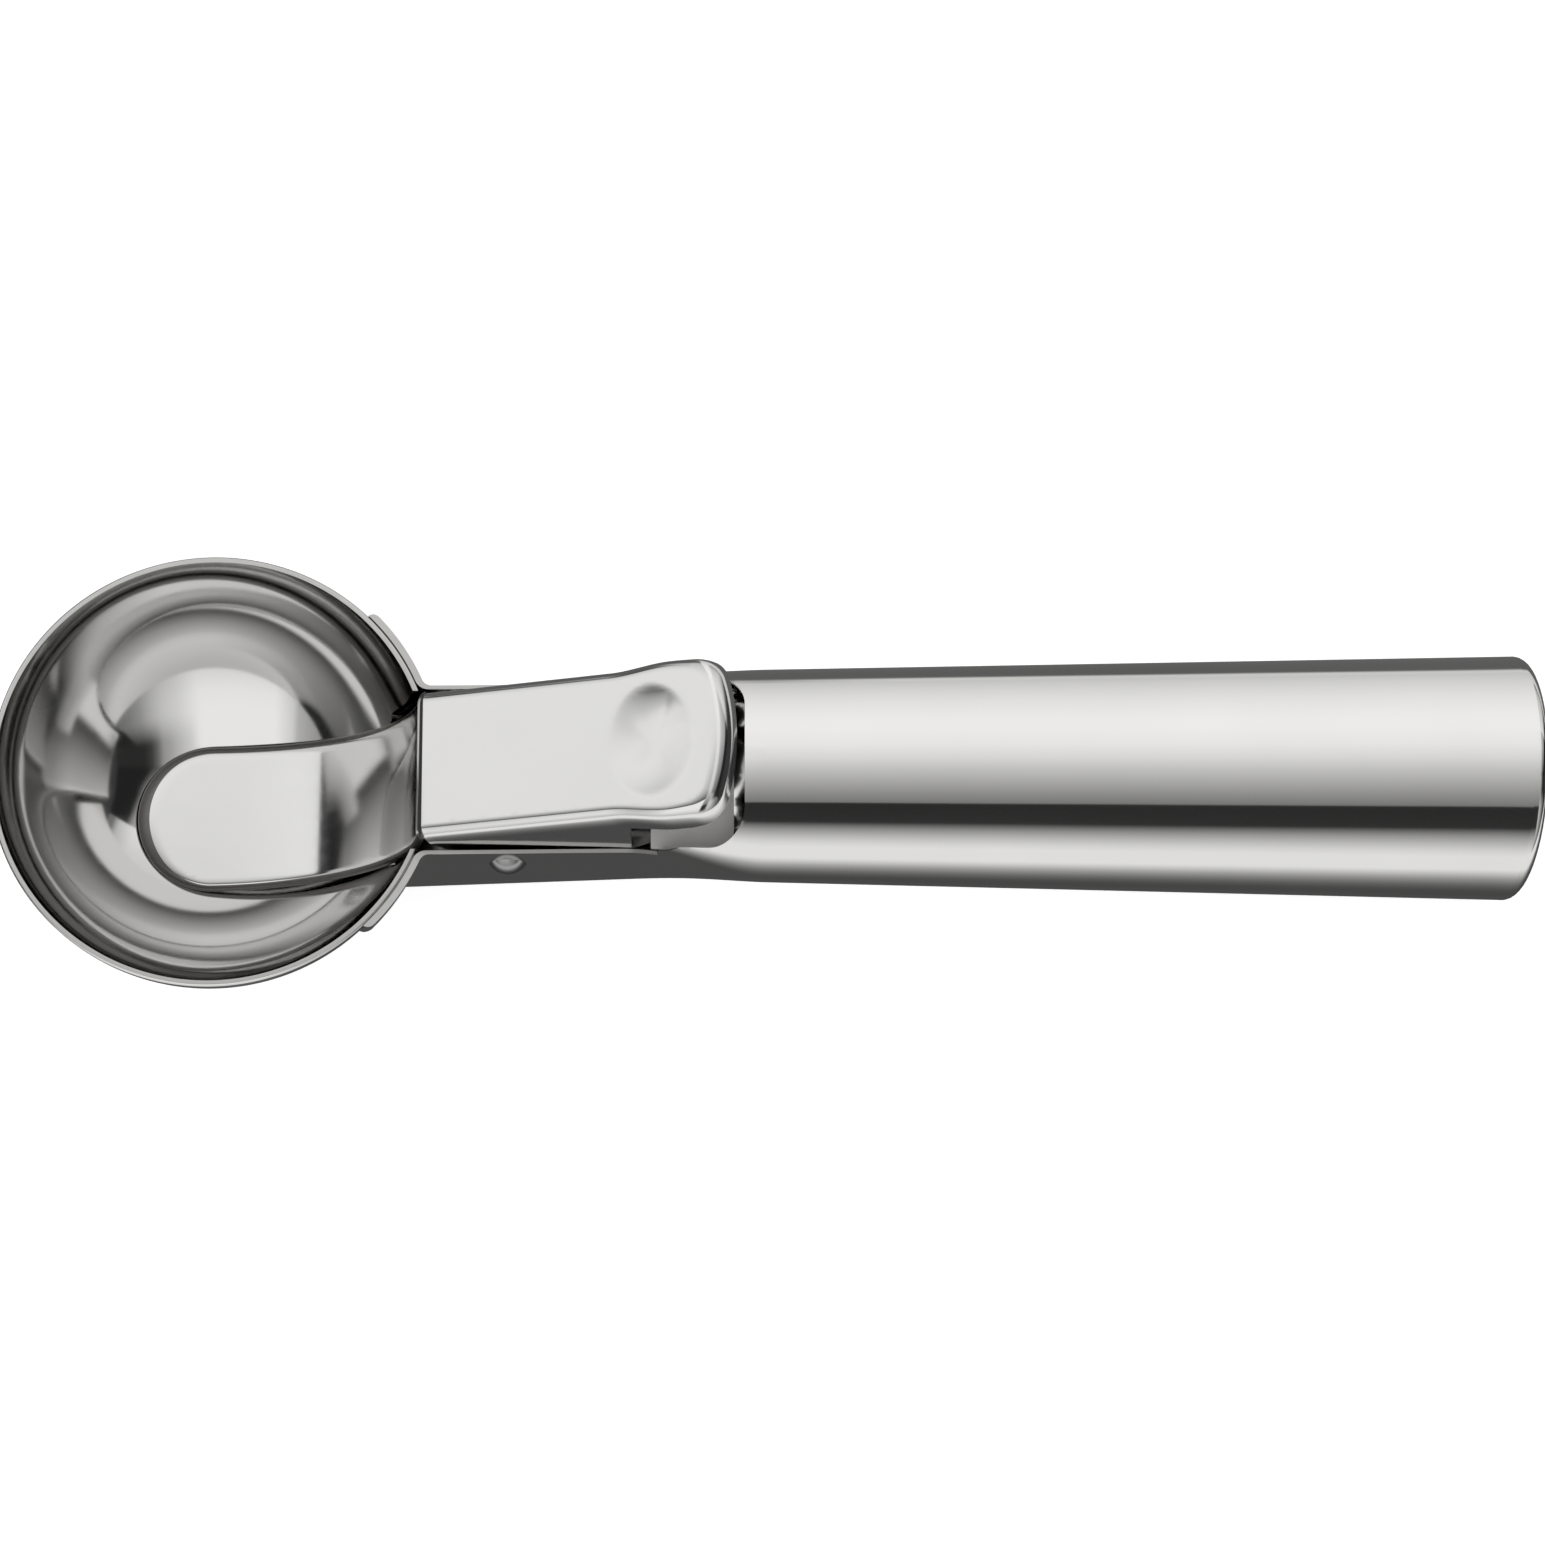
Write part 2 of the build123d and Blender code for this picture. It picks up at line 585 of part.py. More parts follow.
def return_spring():
    """Coil round the sleeve with a leg under the lever's plate and a leg on the neck's floor."""
    first = 270 + SPRING_FLOOR_LEG_DEG
    last = 90 + SPRING_LEVER_LEG_DEG - 360 * SPRING_TURNS
    quarters = round((first - last) / 90)
    turn = (last - first) / quarters
    rise = SPRING_PITCH * (first - last) / 360 / quarters
    half_length = rise * quarters / 2
    points = [coil_point(first + turn * i, rise * i - half_length) for i in range(quarters + 1)]
    climb = Vector(0, rise, 0) * (180 / (math.pi * abs(turn) * SPRING_RADIUS))
    ways = [unit(first + turn * i - 90) for i in range(quarters + 1)]
    ways[1:-1] = [(way + climb).normalized() for way in ways[1:-1]]
    coil = []
    for i in range(quarters):
        coil += biarc(points[i], ways[i], points[i + 1], ways[i + 1])
    plane = lever_plane()
    plate_underside = plane.origin - plane.z_dir * LEVER_SHEET
    lever_leg = spring_leg(points[-1], ways[-1], plate_underside, plane.z_dir)
    seat_x = (RIM_RADIUS + NECK_END) / 2
    floor_tilt = math.degrees(math.atan2(neck_drop(RIM_RADIUS) - neck_drop(NECK_END), NECK_LENGTH))
    floor_point = Vector(seat_x, 0, SHELL_WALL - neck_drop(seat_x))
    floor_leg = spring_leg(points[0], ways[0] * -1, floor_point, unit(floor_tilt - 90))
    path = Wire(floor_leg[::-1] + coil + lever_leg)
    start = path.position_at(0)
    section = Plane(origin=start, z_dir=path.tangent_at(0)) * Circle(SPRING_WIRE / 2)
    print_spring_gap(coil)
    return sweep(section, path)


def print_spring_gap(coil):
    """Least gap between neighbouring turns, measured on points along the coil."""
    samples = []
    for edge in coil:
        samples += [edge.position_at(share / 4) for share in range(4)]
    per_turn = len(samples) * 360 // round(360 * len(coil) / 8)
    least = min(
        (a - b).length
        for i, a in enumerate(samples)
        for b in samples[i + per_turn // 2:]
    )
    print(f"spring: {len(coil) / 8:.2f} turns, least gap between turns {least - SPRING_WIRE:.2f}")


# Resting pose

def rest_location(pieces):
    """Tips the scoop until bowl and handle end touch the surface, origin under the middle."""
    end_low = Vector(HANDLE_END, 0, -TUBE_END_DROP) - unit(90 - END_SLANT_DEG) * TUBE_END_RADIUS
    heel = end_low - unit(-END_SLANT_DEG) * CAP_ROUNDING + unit(90 - END_SLANT_DEG) * CAP_ROUNDING
    span = heel - BOWL_CENTRE
    tilt = math.atan2(span.Z, span.X) + math.asin((BOWL_RADIUS - CAP_ROUNDING) / span.length)
    tip = Rot(0, math.degrees(tilt), 0)
    box = Compound(children=[tip * piece for piece in pieces]).bounding_box()
    place = Pos(-box.center().X, 0, -box.min.Z) * tip
    print(f"rest tilt {math.degrees(tilt):.4f} degrees")
    print("rim centre", (place * Pos(0, 0, 0)).position)
    print("pin", (place * Pos(PIN)).position)
    print("handle end", (place * Pos(HANDLE_END, 0, -TUBE_END_DROP)).position)
    return place


def build():
    outside = handle_core(0, 0)
    inside = handle_core(SHELL_WALL, 1)
    return {
        "bowl": bowl(),
        "handle_shell": handle_shell(outside, inside),
        "handle_end_cap": handle_end_cap(outside),
        "handle_bulkhead": handle_bulkhead(),
        "ejector_lever": ejector_lever(),
        "pivot_rivet": pivot_rivet(),
        "pivot_sleeve": pivot_sleeve(),
        "return_spring": return_spring(),
    }


pieces = build()
place = rest_location(list(pieces.values()))
os.makedirs("parts", exist_ok=True)
for name, piece in pieces.items():
    export_step(place * piece, f"parts/{name}.step")
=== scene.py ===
import json
import math
from collections import Counter

import bmesh
import bpy
from mathutils import Matrix, Vector
from mathutils.geometry import delaunay_2d_cdt

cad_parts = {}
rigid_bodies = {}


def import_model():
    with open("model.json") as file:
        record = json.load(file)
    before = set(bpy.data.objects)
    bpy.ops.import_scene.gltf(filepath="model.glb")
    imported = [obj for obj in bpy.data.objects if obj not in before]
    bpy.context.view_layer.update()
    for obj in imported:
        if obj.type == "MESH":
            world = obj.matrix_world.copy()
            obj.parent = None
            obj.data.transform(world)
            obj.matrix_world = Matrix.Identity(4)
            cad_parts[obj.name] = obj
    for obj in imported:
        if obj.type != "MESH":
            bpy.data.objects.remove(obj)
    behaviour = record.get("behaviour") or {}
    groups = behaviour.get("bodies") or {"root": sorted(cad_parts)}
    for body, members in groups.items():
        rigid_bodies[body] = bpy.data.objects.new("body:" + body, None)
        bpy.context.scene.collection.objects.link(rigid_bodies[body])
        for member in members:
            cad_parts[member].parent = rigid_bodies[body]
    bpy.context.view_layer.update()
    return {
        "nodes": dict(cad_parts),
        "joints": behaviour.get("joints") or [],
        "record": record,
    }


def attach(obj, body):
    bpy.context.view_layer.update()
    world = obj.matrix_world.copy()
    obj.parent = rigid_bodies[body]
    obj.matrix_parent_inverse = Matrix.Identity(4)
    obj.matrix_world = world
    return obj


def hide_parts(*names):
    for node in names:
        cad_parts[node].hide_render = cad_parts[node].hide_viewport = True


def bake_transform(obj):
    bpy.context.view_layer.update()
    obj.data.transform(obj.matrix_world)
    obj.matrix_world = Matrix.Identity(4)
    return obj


# Looks of a polished steel ice cream scoop with a thumb lever.
# Sizes are millimetres in the drawing frame of the CAD source: the bowl's rim is flat at z = 0 with its
# centre at x = 0, and the handle runs along +X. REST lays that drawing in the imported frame, in metres.
# Sheets are as thick as they look at their edges, so some are thinner than the solids'.

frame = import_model()

# Bowl
RIM_RADIUS = 28.0
BOWL_DEPTH = 25.8
BOWL_WALL = 0.75
RIM_ROUNDING = 0.3
NOTCH_WIDTH = 20.6
NOTCH_DEPTH = 12.0
NOTCH_CORNER = 2.5

# Neck and wings
NECK_WIDTH = 22.0
SHELL_WALL = 0.5
NECK_DEPTH_AT_BOWL = 19.6
NECK_DEPTH_AT_TUBE = 17.5
NECK_CORNER_AT_BOWL = 3.6
NECK_CORNER_AT_TUBE = 5.2
NECK_LENGTH = 24.0
NECK_UNDER_BOWL = 15.0
WALL_TOP_RISE = 0.8
WING_REACH_DEG = 46.0
WING_HEIGHT = 12.0
WING_CORNER = 5.0
WING_BEND = 1.3
WING_WALL = 0.85
WING_END_SHARE = 0.2
WELD_GAP = 0.05

# Handle tube and its end
TRANSITION_LENGTH = 18.0
TUBE_START_RADIUS = 13.45
TUBE_START_DROP = 3.2
TUBE_END_RADIUS = 15.45
TUBE_END_DROP = 4.4
HANDLE_LENGTH = 136.6
END_SLANT_DEG = 10.0
CAP_THICKNESS = 1.8
CAP_ROUNDING = 1.2
CAP_RINGS = (1.6, 3, 6, 10, 13, 15.2)

# Thumb cut-out and the shelf in it, measured from the rim
CUTOUT_END = 39.2
CUTOUT_NEAR = 11.3
CUTOUT_FAR = 10.6
CUTOUT_CORNER = 4.5
WALL_SWEEP_AT = 22.5
WALL_SWEEP_RUN = 10.5
WALL_SWEEP_RISE = 5.4
WALL_SWEEP_CURVE = 1.6
SHELF_START = 27.4
SHELF_END = 37.8
SHELF_SHEET = 0.8
SHELF_CORNER = 3.0
SHELF_GAP = 0.3

# Lever with its tongue
LEVER_SHEET = 1.0
LEVER_WIDTH = 19.5
LEVER_SHIFT = 0.2
LEVER_RISE = 3.4
LEVER_SLOPE_DEG = 21.5
LEVER_LENGTH = 42.2
LEVER_EDGE = 1.5
LEVER_EDGE_TURN_DEG = 75.0
LEVER_FOLD = 1.2
FOLD_INSIDE_RIM = 1.95
TONGUE_WIDTH = 19.2
TONGUE_WAIST = 18.6
TONGUE_WIDTH_AT_FOLD = 19.2
TONGUE_FLARE_AT = 22.0
TONGUE_TIP = 11.2
TONGUE_SKEW = 0.4
TONGUE_LIFT = 2.2
TONGUE_FLOOR_AT = 2.7
TONGUE_FLOOR_RADIUS = 32.0
TONGUE_FLOOR_TURN_DEG = 28.0
TONGUE_TIP_RADIUS = 60.0
TONGUE_EDGE = 0.95
TONGUE_NEAR_RUN = 1.05
TONGUE_FAR_RUN = 1.7
TONGUE_TIP_RUN = 2.5
PAD_WIDTH = 21.0
PAD_LENGTH = 16.4
PAD_FULL_WIDTH_RUN = 8.4
PAD_CORNER = 4.2
PAD_END_RADIUS = 26.0
PAD_ROLL = 2.4
PAD_ROLL_FULL_RUN = 1.0
SKIRT_DEPTH = 4.4
REAR_LIP_DEPTH = 2.5
REAR_LIP_RUN = 6.4
FLANGE_BOW = 10.6
FLANGE_LEAN_DEG = 3.0
FLANGE_BELOW_BOW = 0.2
FLANGE_LEAST_BOW = 0.02
FLANGE_LEAST_DROP = 0.05
FLANGE_END = 25.0
FLANGE_END_DROP = 1.0
FLANGE_END_STEP = 0.02
FLANGE_START_DEPTH = 3.0
FLANGE_START_RUN = 1.5
EAR_RADIUS = 3.9
DIMPLE_FROM_REAR = 10.5
DIMPLE_LENGTH = 11.6
DIMPLE_WIDTH = 14.0
DIMPLE_DEPTH = 0.66
DIMPLE_END_POWER = 1.4
DIMPLE_SIDE_POWER = 3.8
DIMPLE_SIDE_FOCUS = 6
DIMPLE_FRONT_SOFTNESS = 0.4

# Pivot and spring
PIN_AT = 9.25
PIN_DROP = 5.0
SPRING_WIRE = 0.8
SPRING_RADIUS = 3.4
SPRING_PITCH = 1.35
SPRING_TURNS = 4
SPRING_LEVER_LEG_DEG = 45.0
SPRING_FLOOR_LEG_DEG = -25.0

# Ground edges, by their height over the rim and by how level they lie
GROUND_FROM = -0.05
GROUND_TO = 3.0
GROUND_LEVEL = 0.97

# Mesh steps
RING_STEPS = 256
BOWL_ROWS = 72
RIM_STEPS = 5
NOTCH_STEPS = 8
CORNER_STEPS = 16
FLAT_SHARES = (0.1, 0.5, 0.9)
NECK_ROWS = 12
TRANSITION_ROWS = 40
TUBE_ROWS = 28
CAP_STEPS = 8
WING_ROWS = 10
WING_CORNER_ROWS = 12
WING_STEPS = 40
WING_BEND_STEPS = 10
WING_ROOT_SHARES = (0.15, 0.5, 1)
WING_END_STEPS = 4
CUTOUT_STEPS = 12
SWEEP_STEPS = 12
SHELF_STEPS = 10
EDGE_STEPS = 7
BOW_STEPS = 4
FLANGE_STEPS = 5
LEVER_SIDE_STEPS = 40
PAD_CORNER_STEPS = 12
PAD_END_STEPS = 16
EYE_STEPS = 24
TONGUE_SIDE_STEPS = 90
TONGUE_TIP_STEPS = 30
TONGUE_PLAIN_ROWS = 2
COIL_STEPS = 40
WIRE_SIDES = 12
FILL_SPACING = 0.5
CREASE_DEG = 32.0
SMALL = 0.01
FAR = 60.0

# Worked out from the sizes above
BOWL_RADIUS = (RIM_RADIUS**2 + BOWL_DEPTH**2) / (2 * BOWL_DEPTH)
BOWL_CENTRE = Vector((0, 0, BOWL_RADIUS - BOWL_DEPTH))
BOWL_INSIDE = BOWL_RADIUS - BOWL_WALL
WING_INSIDE = BOWL_RADIUS + WELD_GAP
WING_OUTSIDE = WING_INSIDE + WING_WALL
FOLD = Vector((RIM_RADIUS - FOLD_INSIDE_RIM, 0, LEVER_RISE))
TONGUE_FLOOR = Vector((-TONGUE_FLOOR_AT, 0, BOWL_WALL + TONGUE_LIFT + LEVER_SHEET - BOWL_DEPTH))
NECK_END = RIM_RADIUS + NECK_LENGTH
NECK_CROWN = TUBE_START_RADIUS - TUBE_START_DROP
TUBE_START = NECK_END + TRANSITION_LENGTH
HANDLE_END = RIM_RADIUS + HANDLE_LENGTH
WING_ROOT = math.sqrt(WING_OUTSIDE**2 - BOWL_CENTRE.z**2 - NECK_WIDTH**2 / 4)
WALL_RISE_START = WING_ROOT + 2 * WING_BEND
PAD_FLARE_START = LEVER_LENGTH - PAD_LENGTH
PAD_FLARE_END = LEVER_LENGTH - PAD_FULL_WIDTH_RUN
DIMPLE_AT = LEVER_LENGTH - DIMPLE_FROM_REAR
PIN = Vector((RIM_RADIUS + PIN_AT, 0, -PIN_DROP))


def rest_placement():
    """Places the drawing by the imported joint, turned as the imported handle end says."""
    pivot = Vector(frame["joints"][0]["pos_m"])
    end_face = next(m for m in frame["record"]["mounts"] if m["name"] == "handle_end_face")
    x, _, z = end_face["axis"]
    tilt = math.atan2(-z, x) - math.radians(END_SLANT_DEG)
    turn = Matrix.Rotation(tilt, 4, "Y")
    return Matrix.Translation(pivot) @ turn @ Matrix.Scale(0.001, 4) @ Matrix.Translation(-PIN)


REST = rest_placement()


def mix(a, b, share):
    """Value at a share of the way from a to b."""
    return a + (b - a) * share


def ease(share):
    """Share from 0 to 1 with a soft start and end."""
    share = min(max(share, 0), 1)
    return share * share * (3 - 2 * share)


def between(at, start, end):
    """Eased share of the way from start to end."""
    return ease((at - start) / (end - start))


def steps(start, end, count):
    """Values at both ends of a number of even steps."""
    return [mix(start, end, i / count) for i in range(count + 1)]


def unit(degrees):
    """Direction in the XZ plane, turned up from +X."""
    return Vector((math.cos(math.radians(degrees)), 0, math.sin(math.radians(degrees))))


# Meshes

def new_mesh(name, points, faces):
    """Mesh from points of the drawing, its faces turned outwards."""
    mesh = bpy.data.meshes.new(name)
    mesh.from_pydata([REST @ Vector(p) for p in points], [], faces)
    work = bmesh.new()
    work.from_mesh(mesh)
    bmesh.ops.recalc_face_normals(work, faces=work.faces)
    work.to_mesh(mesh)
    work.free()
    return mesh


class Sheet:
    """Sheet metal: faces on pairs of matching points of its top and its underside.
    A face's mark says which of the piece's finishes it has."""

    def __init__(self, edge_mark=0):
        self.top, self.under, self.faces, self.marks, self.known = [], [], [], [], {}
        self.edge_mark = edge_mark

    def corner(self, pair):
        top, under = pair
        key = tuple(round(c, 4) for c in top)
        if key not in self.known:
            self.known[key] = len(self.top)
            self.top.append(top)
            self.under.append(under)
        return self.known[key]

    def face(self, pairs, mark=0):
        corners = list(dict.fromkeys(self.corner(pair) for pair in pairs))
        if len(corners) > 2:
            self.faces.append(corners)
            self.marks.append(mark)

    def grid(self, rows, around=False, mark=0):
        for low, high in zip(rows, rows[1:]):
            count = len(low)
            for i in range(count if around else count - 1):
                k = (i + 1) % count
                self.face((low[i], low[k], high[k], high[i]), mark)

    def mesh(self, name):
        """Top, underside and the cut edges between them as one closed mesh."""
        count = len(self.top)
        uses = Counter()
        for face in self.faces:
            uses.update(tuple(sorted(edge)) for edge in zip(face, face[1:] + face[:1]))
        under = [[i + count for i in face] for face in self.faces]
        sides = [(a, b, b + count, a + count) for (a, b), used in uses.items() if used == 1]
        mesh = new_mesh(name, self.top + self.under, self.faces + under + sides)
        marks = self.marks + [0] * len(under) + [self.edge_mark] * len(sides)
        mesh.polygons.foreach_set("material_index", marks)
        return mesh


def prism(outline, shift):
    """Closed prism from an outline of drawing points and the vector it is pushed along."""
    count = len(outline)
    points = [Vector(p) for p in outline]
    points += [p + Vector(shift) for p in points]
    sides = [(i, (i + 1) % count, (i + 1) % count + count, i + count) for i in range(count)]
    return new_mesh("cutter", points, [list(range(count)), list(range(count, 2 * count)), *sides])


def ball(radius):
    """Sphere about the bowl's centre."""
    mesh = bpy.data.meshes.new("cutter")
    work = bmesh.new()
    place = REST @ Matrix.Translation(BOWL_CENTRE)
    bmesh.ops.create_uvsphere(work, u_segments=RING_STEPS, v_segments=BOWL_ROWS, radius=radius, matrix=place)
    work.to_mesh(mesh)
    work.free()
    return mesh


def cut(mesh, cutters):
    """The mesh less the cutters."""
    scene = bpy.context.scene.collection.objects
    block = bpy.data.objects.new("block", mesh)
    tools = [bpy.data.objects.new("cutter", cutter) for cutter in cutters]
    for item in [block] + tools:
        scene.link(item)
    for tool in tools:
        modifier = block.modifiers.new("cut", "BOOLEAN")
        modifier.operation = "DIFFERENCE"
        modifier.solver = "EXACT"
        modifier.object = tool
    result = bpy.data.meshes.new_from_object(block.evaluated_get(bpy.context.evaluated_depsgraph_get()))
    for item in [block] + tools:
        bpy.data.objects.remove(item)
    return result


def joined(meshes):
    """Several meshes as one."""
    work = bmesh.new()
    for mesh in meshes:
        work.from_mesh(mesh)
    result = bpy.data.meshes.new("joined")
    work.to_mesh(result)
    work.free()
    return result


def ground(mesh):
    """The mesh with the second finish on its flat faces at the height of the rim."""
    up = REST.to_3x3().normalized() @ Vector((0, 0, 1))
    lay = REST.inverted()
    for face in mesh.polygons:
        if face.normal.dot(up) > GROUND_LEVEL and GROUND_FROM < (lay @ face.center).z < GROUND_TO:
            face.material_index = 1
    return mesh


def add_piece(node, mesh, finishes):
    """Shows the mesh in place of a CAD node, with smooth faces and sharp folds."""
    mesh.name = node + " looks"
    mesh.shade_smooth()
    mesh.set_sharp_from_angle(angle=math.radians(CREASE_DEG))
    for finish in finishes:
        mesh.materials.append(finish)
    piece = bpy.data.objects.new(node + "_looks", mesh)
    bpy.context.scene.collection.objects.link(piece)
    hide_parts(node)
    return piece


# Bowl

def bowl_mesh():
    """Cap of a sphere with a rounded lip, less the notch that the lever passes through."""
    def level(radius, z):
        """Distance from the axis to a sphere about the bowl's centre at height z."""
        return math.sqrt(radius**2 - (z - BOWL_CENTRE.z) ** 2)

    def side(radius, share):
        angle = mix(-math.pi / 2, -math.asin((BOWL_CENTRE.z + RIM_ROUNDING) / radius), share)
        return radius * math.cos(angle), BOWL_CENTRE.z + radius * math.sin(angle)

    def turned(point, turn):
        return (point[0] * math.cos(turn), point[0] * math.sin(turn), point[1])

    profile = [(side(BOWL_RADIUS, share), side(BOWL_INSIDE, share)) for share in steps(0, 1, BOWL_ROWS)]
    lip = level(BOWL_RADIUS, -RIM_ROUNDING)
    for a in steps(0, math.pi / 2, RIM_STEPS)[1:]:
        z = RIM_ROUNDING * (math.sin(a) - 1)
        profile.append(((lip - RIM_ROUNDING * (1 - math.cos(a)), z), (level(BOWL_INSIDE, z), z)))
    turns = [math.tau * i / RING_STEPS for i in range(RING_STEPS)]
    bowl = Sheet()
    bowl.grid([[(turned(o, t), turned(i, t)) for t in turns] for o, i in profile], around=True)
    half = NOTCH_WIDTH / 2
    notch = [(-half, FAR)]
    for a in steps(math.pi, 1.5 * math.pi, NOTCH_STEPS):
        y, z = NOTCH_CORNER * (1 + math.cos(a)), NOTCH_CORNER * (1 + math.sin(a))
        notch.append((y - half, z - NOTCH_DEPTH))
    outline = notch + [(-y, z) for y, z in reversed(notch)]
    return cut(bowl.mesh("bowl"), [prism([(0, y, z) for y, z in outline], (FAR, 0, 0))])


# Handle

def neck_drop(x):
    return mix(NECK_DEPTH_AT_BOWL, NECK_DEPTH_AT_TUBE, (x - RIM_RADIUS) / NECK_LENGTH)


def neck_corner(x):
    return mix(NECK_CORNER_AT_BOWL, NECK_CORNER_AT_TUBE, (x - RIM_RADIUS) / NECK_LENGTH)


def tube_share(x):
    return (x - TUBE_START) / (HANDLE_END - TUBE_START)


def tube_radius(x):
    return mix(TUBE_START_RADIUS, TUBE_END_RADIUS, tube_share(x))


def tube_axis(x):
    return -mix(TUBE_START_DROP, TUBE_END_DROP, tube_share(x))


def ring_places():
    """Places round a section: quarter, turn within its corner, and share of the flat side that follows."""
    places = []
    for quarter in range(4):
        places += [(quarter, i / CORNER_STEPS, 0) for i in range(CORNER_STEPS + 1)]
        places += [(quarter, 1, along) for along in FLAT_SHARES]
    return places


def handle_point(x, inset, place):
    """Point of the handle's section: a rounded rectangle at the neck whose corners grow into a circle."""
    quarter, turn, along = place
    share = ease((x - NECK_END) / TRANSITION_LENGTH)
    radius, axis = tube_radius(x), tube_axis(x)
    corner = mix(neck_corner(x), radius, share)
    half = mix(NECK_WIDTH / 2, radius, share) - corner
    top = mix(NECK_CROWN, axis + radius, share) - corner
    floor = mix(-neck_drop(x), axis - radius, share) + corner
    centres = [(half, top), (-half, top), (-half, floor), (half, floor)]
    start, end = centres[quarter], centres[(quarter + 1) % 4]
    angle = math.radians(90 * (quarter + turn))
    y = mix(start[0], end[0], along) + (corner - inset) * math.cos(angle)
    z = mix(start[1], end[1], along) + (corner - inset) * math.sin(angle)
    return (x, y, z)


def slanted_end(place, inset, depth):
    """Point of the section on a plane parallel to the slanted end, depth inside it.
    The section changes slowly along the tube, so a few tries settle its place."""
    slant = math.radians(END_SLANT_DEG)
    x = HANDLE_END
    for _ in range(5):
        z = handle_point(x, inset, place)[2]
        x = HANDLE_END + ((z + TUBE_END_DROP) * math.sin(slant) - depth) / math.cos(slant)
    return handle_point(x, inset, place)


def tube_rows(places):
    """Sections of the tube, which lean more and more until the last lies on the slanted end."""
    rows = [[] for _ in range(TUBE_ROWS + 1)]
    for place in places:
        ends = [slanted_end(place, inset, CAP_THICKNESS)[0] for inset in (0, SHELL_WALL)]
        for i, row in enumerate(rows):
            outside, inside = (mix(TUBE_START, end, i / TUBE_ROWS) for end in ends)
            row.append((handle_point(outside, 0, place), handle_point(inside, SHELL_WALL, place)))
    return rows


def wing_line(z, radius, wall, bend, shortened):
    """The wing seen from above at one height: round the bowl, through the bend, along the neck's wall."""
    level = math.sqrt(radius**2 - (z - BOWL_CENTRE.z) ** 2)
    bend_x = math.sqrt((level + bend) ** 2 - (wall + bend) ** 2)
    contact = math.atan2(wall + bend, bend_x)
    end = math.radians(WING_REACH_DEG) - math.asin(shortened / level)
    line = [(level * math.cos(a), level * math.sin(a), z) for a in steps(end, contact, WING_STEPS)]
    for a in steps(contact + math.pi, 1.5 * math.pi, WING_BEND_STEPS)[1:]:
        line.append((bend_x + bend * math.cos(a), wall + bend * (1 + math.sin(a)), z))
    line += [(mix(bend_x, WALL_RISE_START, share), wall, z) for share in WING_ROOT_SHARES]
    return line


def wing_mesh(side):
    """Wing on the +Y side for side 1, on the -Y side for side -1, its end rounded in the sheet."""
    plain = WING_HEIGHT - WING_CORNER
    levels = [(-plain * i / WING_ROWS, 0) for i in range(WING_ROWS)]
    for a in steps(0, math.pi / 2, WING_CORNER_ROWS):
        levels.append((-plain - WING_CORNER * math.sin(a), WING_CORNER * (1 - math.cos(a))))
    wing = Sheet()
    rows = []
    for z, shortened in levels:
        outside = wing_line(z, WING_OUTSIDE, NECK_WIDTH / 2, WING_BEND, shortened)
        inside = wing_line(z, WING_INSIDE, NECK_WIDTH / 2 - SHELL_WALL, WING_BEND + SHELL_WALL, shortened)
        for i in range(WING_END_STEPS):
            share = max(math.sqrt(1 - (1 - i / WING_END_STEPS) ** 2), WING_END_SHARE)
            outside[i] = tuple(mix(a, b, share) for a, b in zip(inside[i], outside[i]))
        rows.append([((x, side * y, z), (u, side * v, w)) for (x, y, z), (u, v, w) in zip(outside, inside)])
    wing.grid(rows)
    return wing.mesh("wing")


def cutout_prism():
    """Rounded thumb cut-out, seen from above."""
    end = RIM_RADIUS + CUTOUT_END
    angles = [math.radians(a) for a in steps(-90, 0, CUTOUT_STEPS)]
    corner = [(end + CUTOUT_CORNER * (math.cos(a) - 1), CUTOUT_CORNER * (math.sin(a) + 1)) for a in angles]
    side = [(0, 0)] + corner
    outline = [(x, y - CUTOUT_NEAR) for x, y in side] + [(x, CUTOUT_FAR - y) for x, y in reversed(side)]
    return prism([(x, y, WALL_TOP_RISE) for x, y in outline], (0, 0, FAR))


def shelf_mesh():
    """Plate across the tube below the pad, level with the cut-out's edge."""
    side = []
    for x in steps(RIM_RADIUS + SHELF_START, RIM_RADIUS + SHELF_END - SHELF_CORNER, SHELF_STEPS):
        _, half, _ = handle_point(x, SHELL_WALL + SHELF_GAP, (0, 0, 0))
        side.append((x, -half))
    x, y = side[-1]
    for a in steps(-90, 0, SHELF_STEPS)[1:]:
        way = unit(a) * SHELF_CORNER
        side.append((x + way.x, y + SHELF_CORNER + way.z))
    outline = side + [(x, -y) for x, y in reversed(side)]
    return prism([(x, y, WALL_TOP_RISE - SHELF_SHEET) for x, y in outline], (0, 0, SHELF_SHEET))


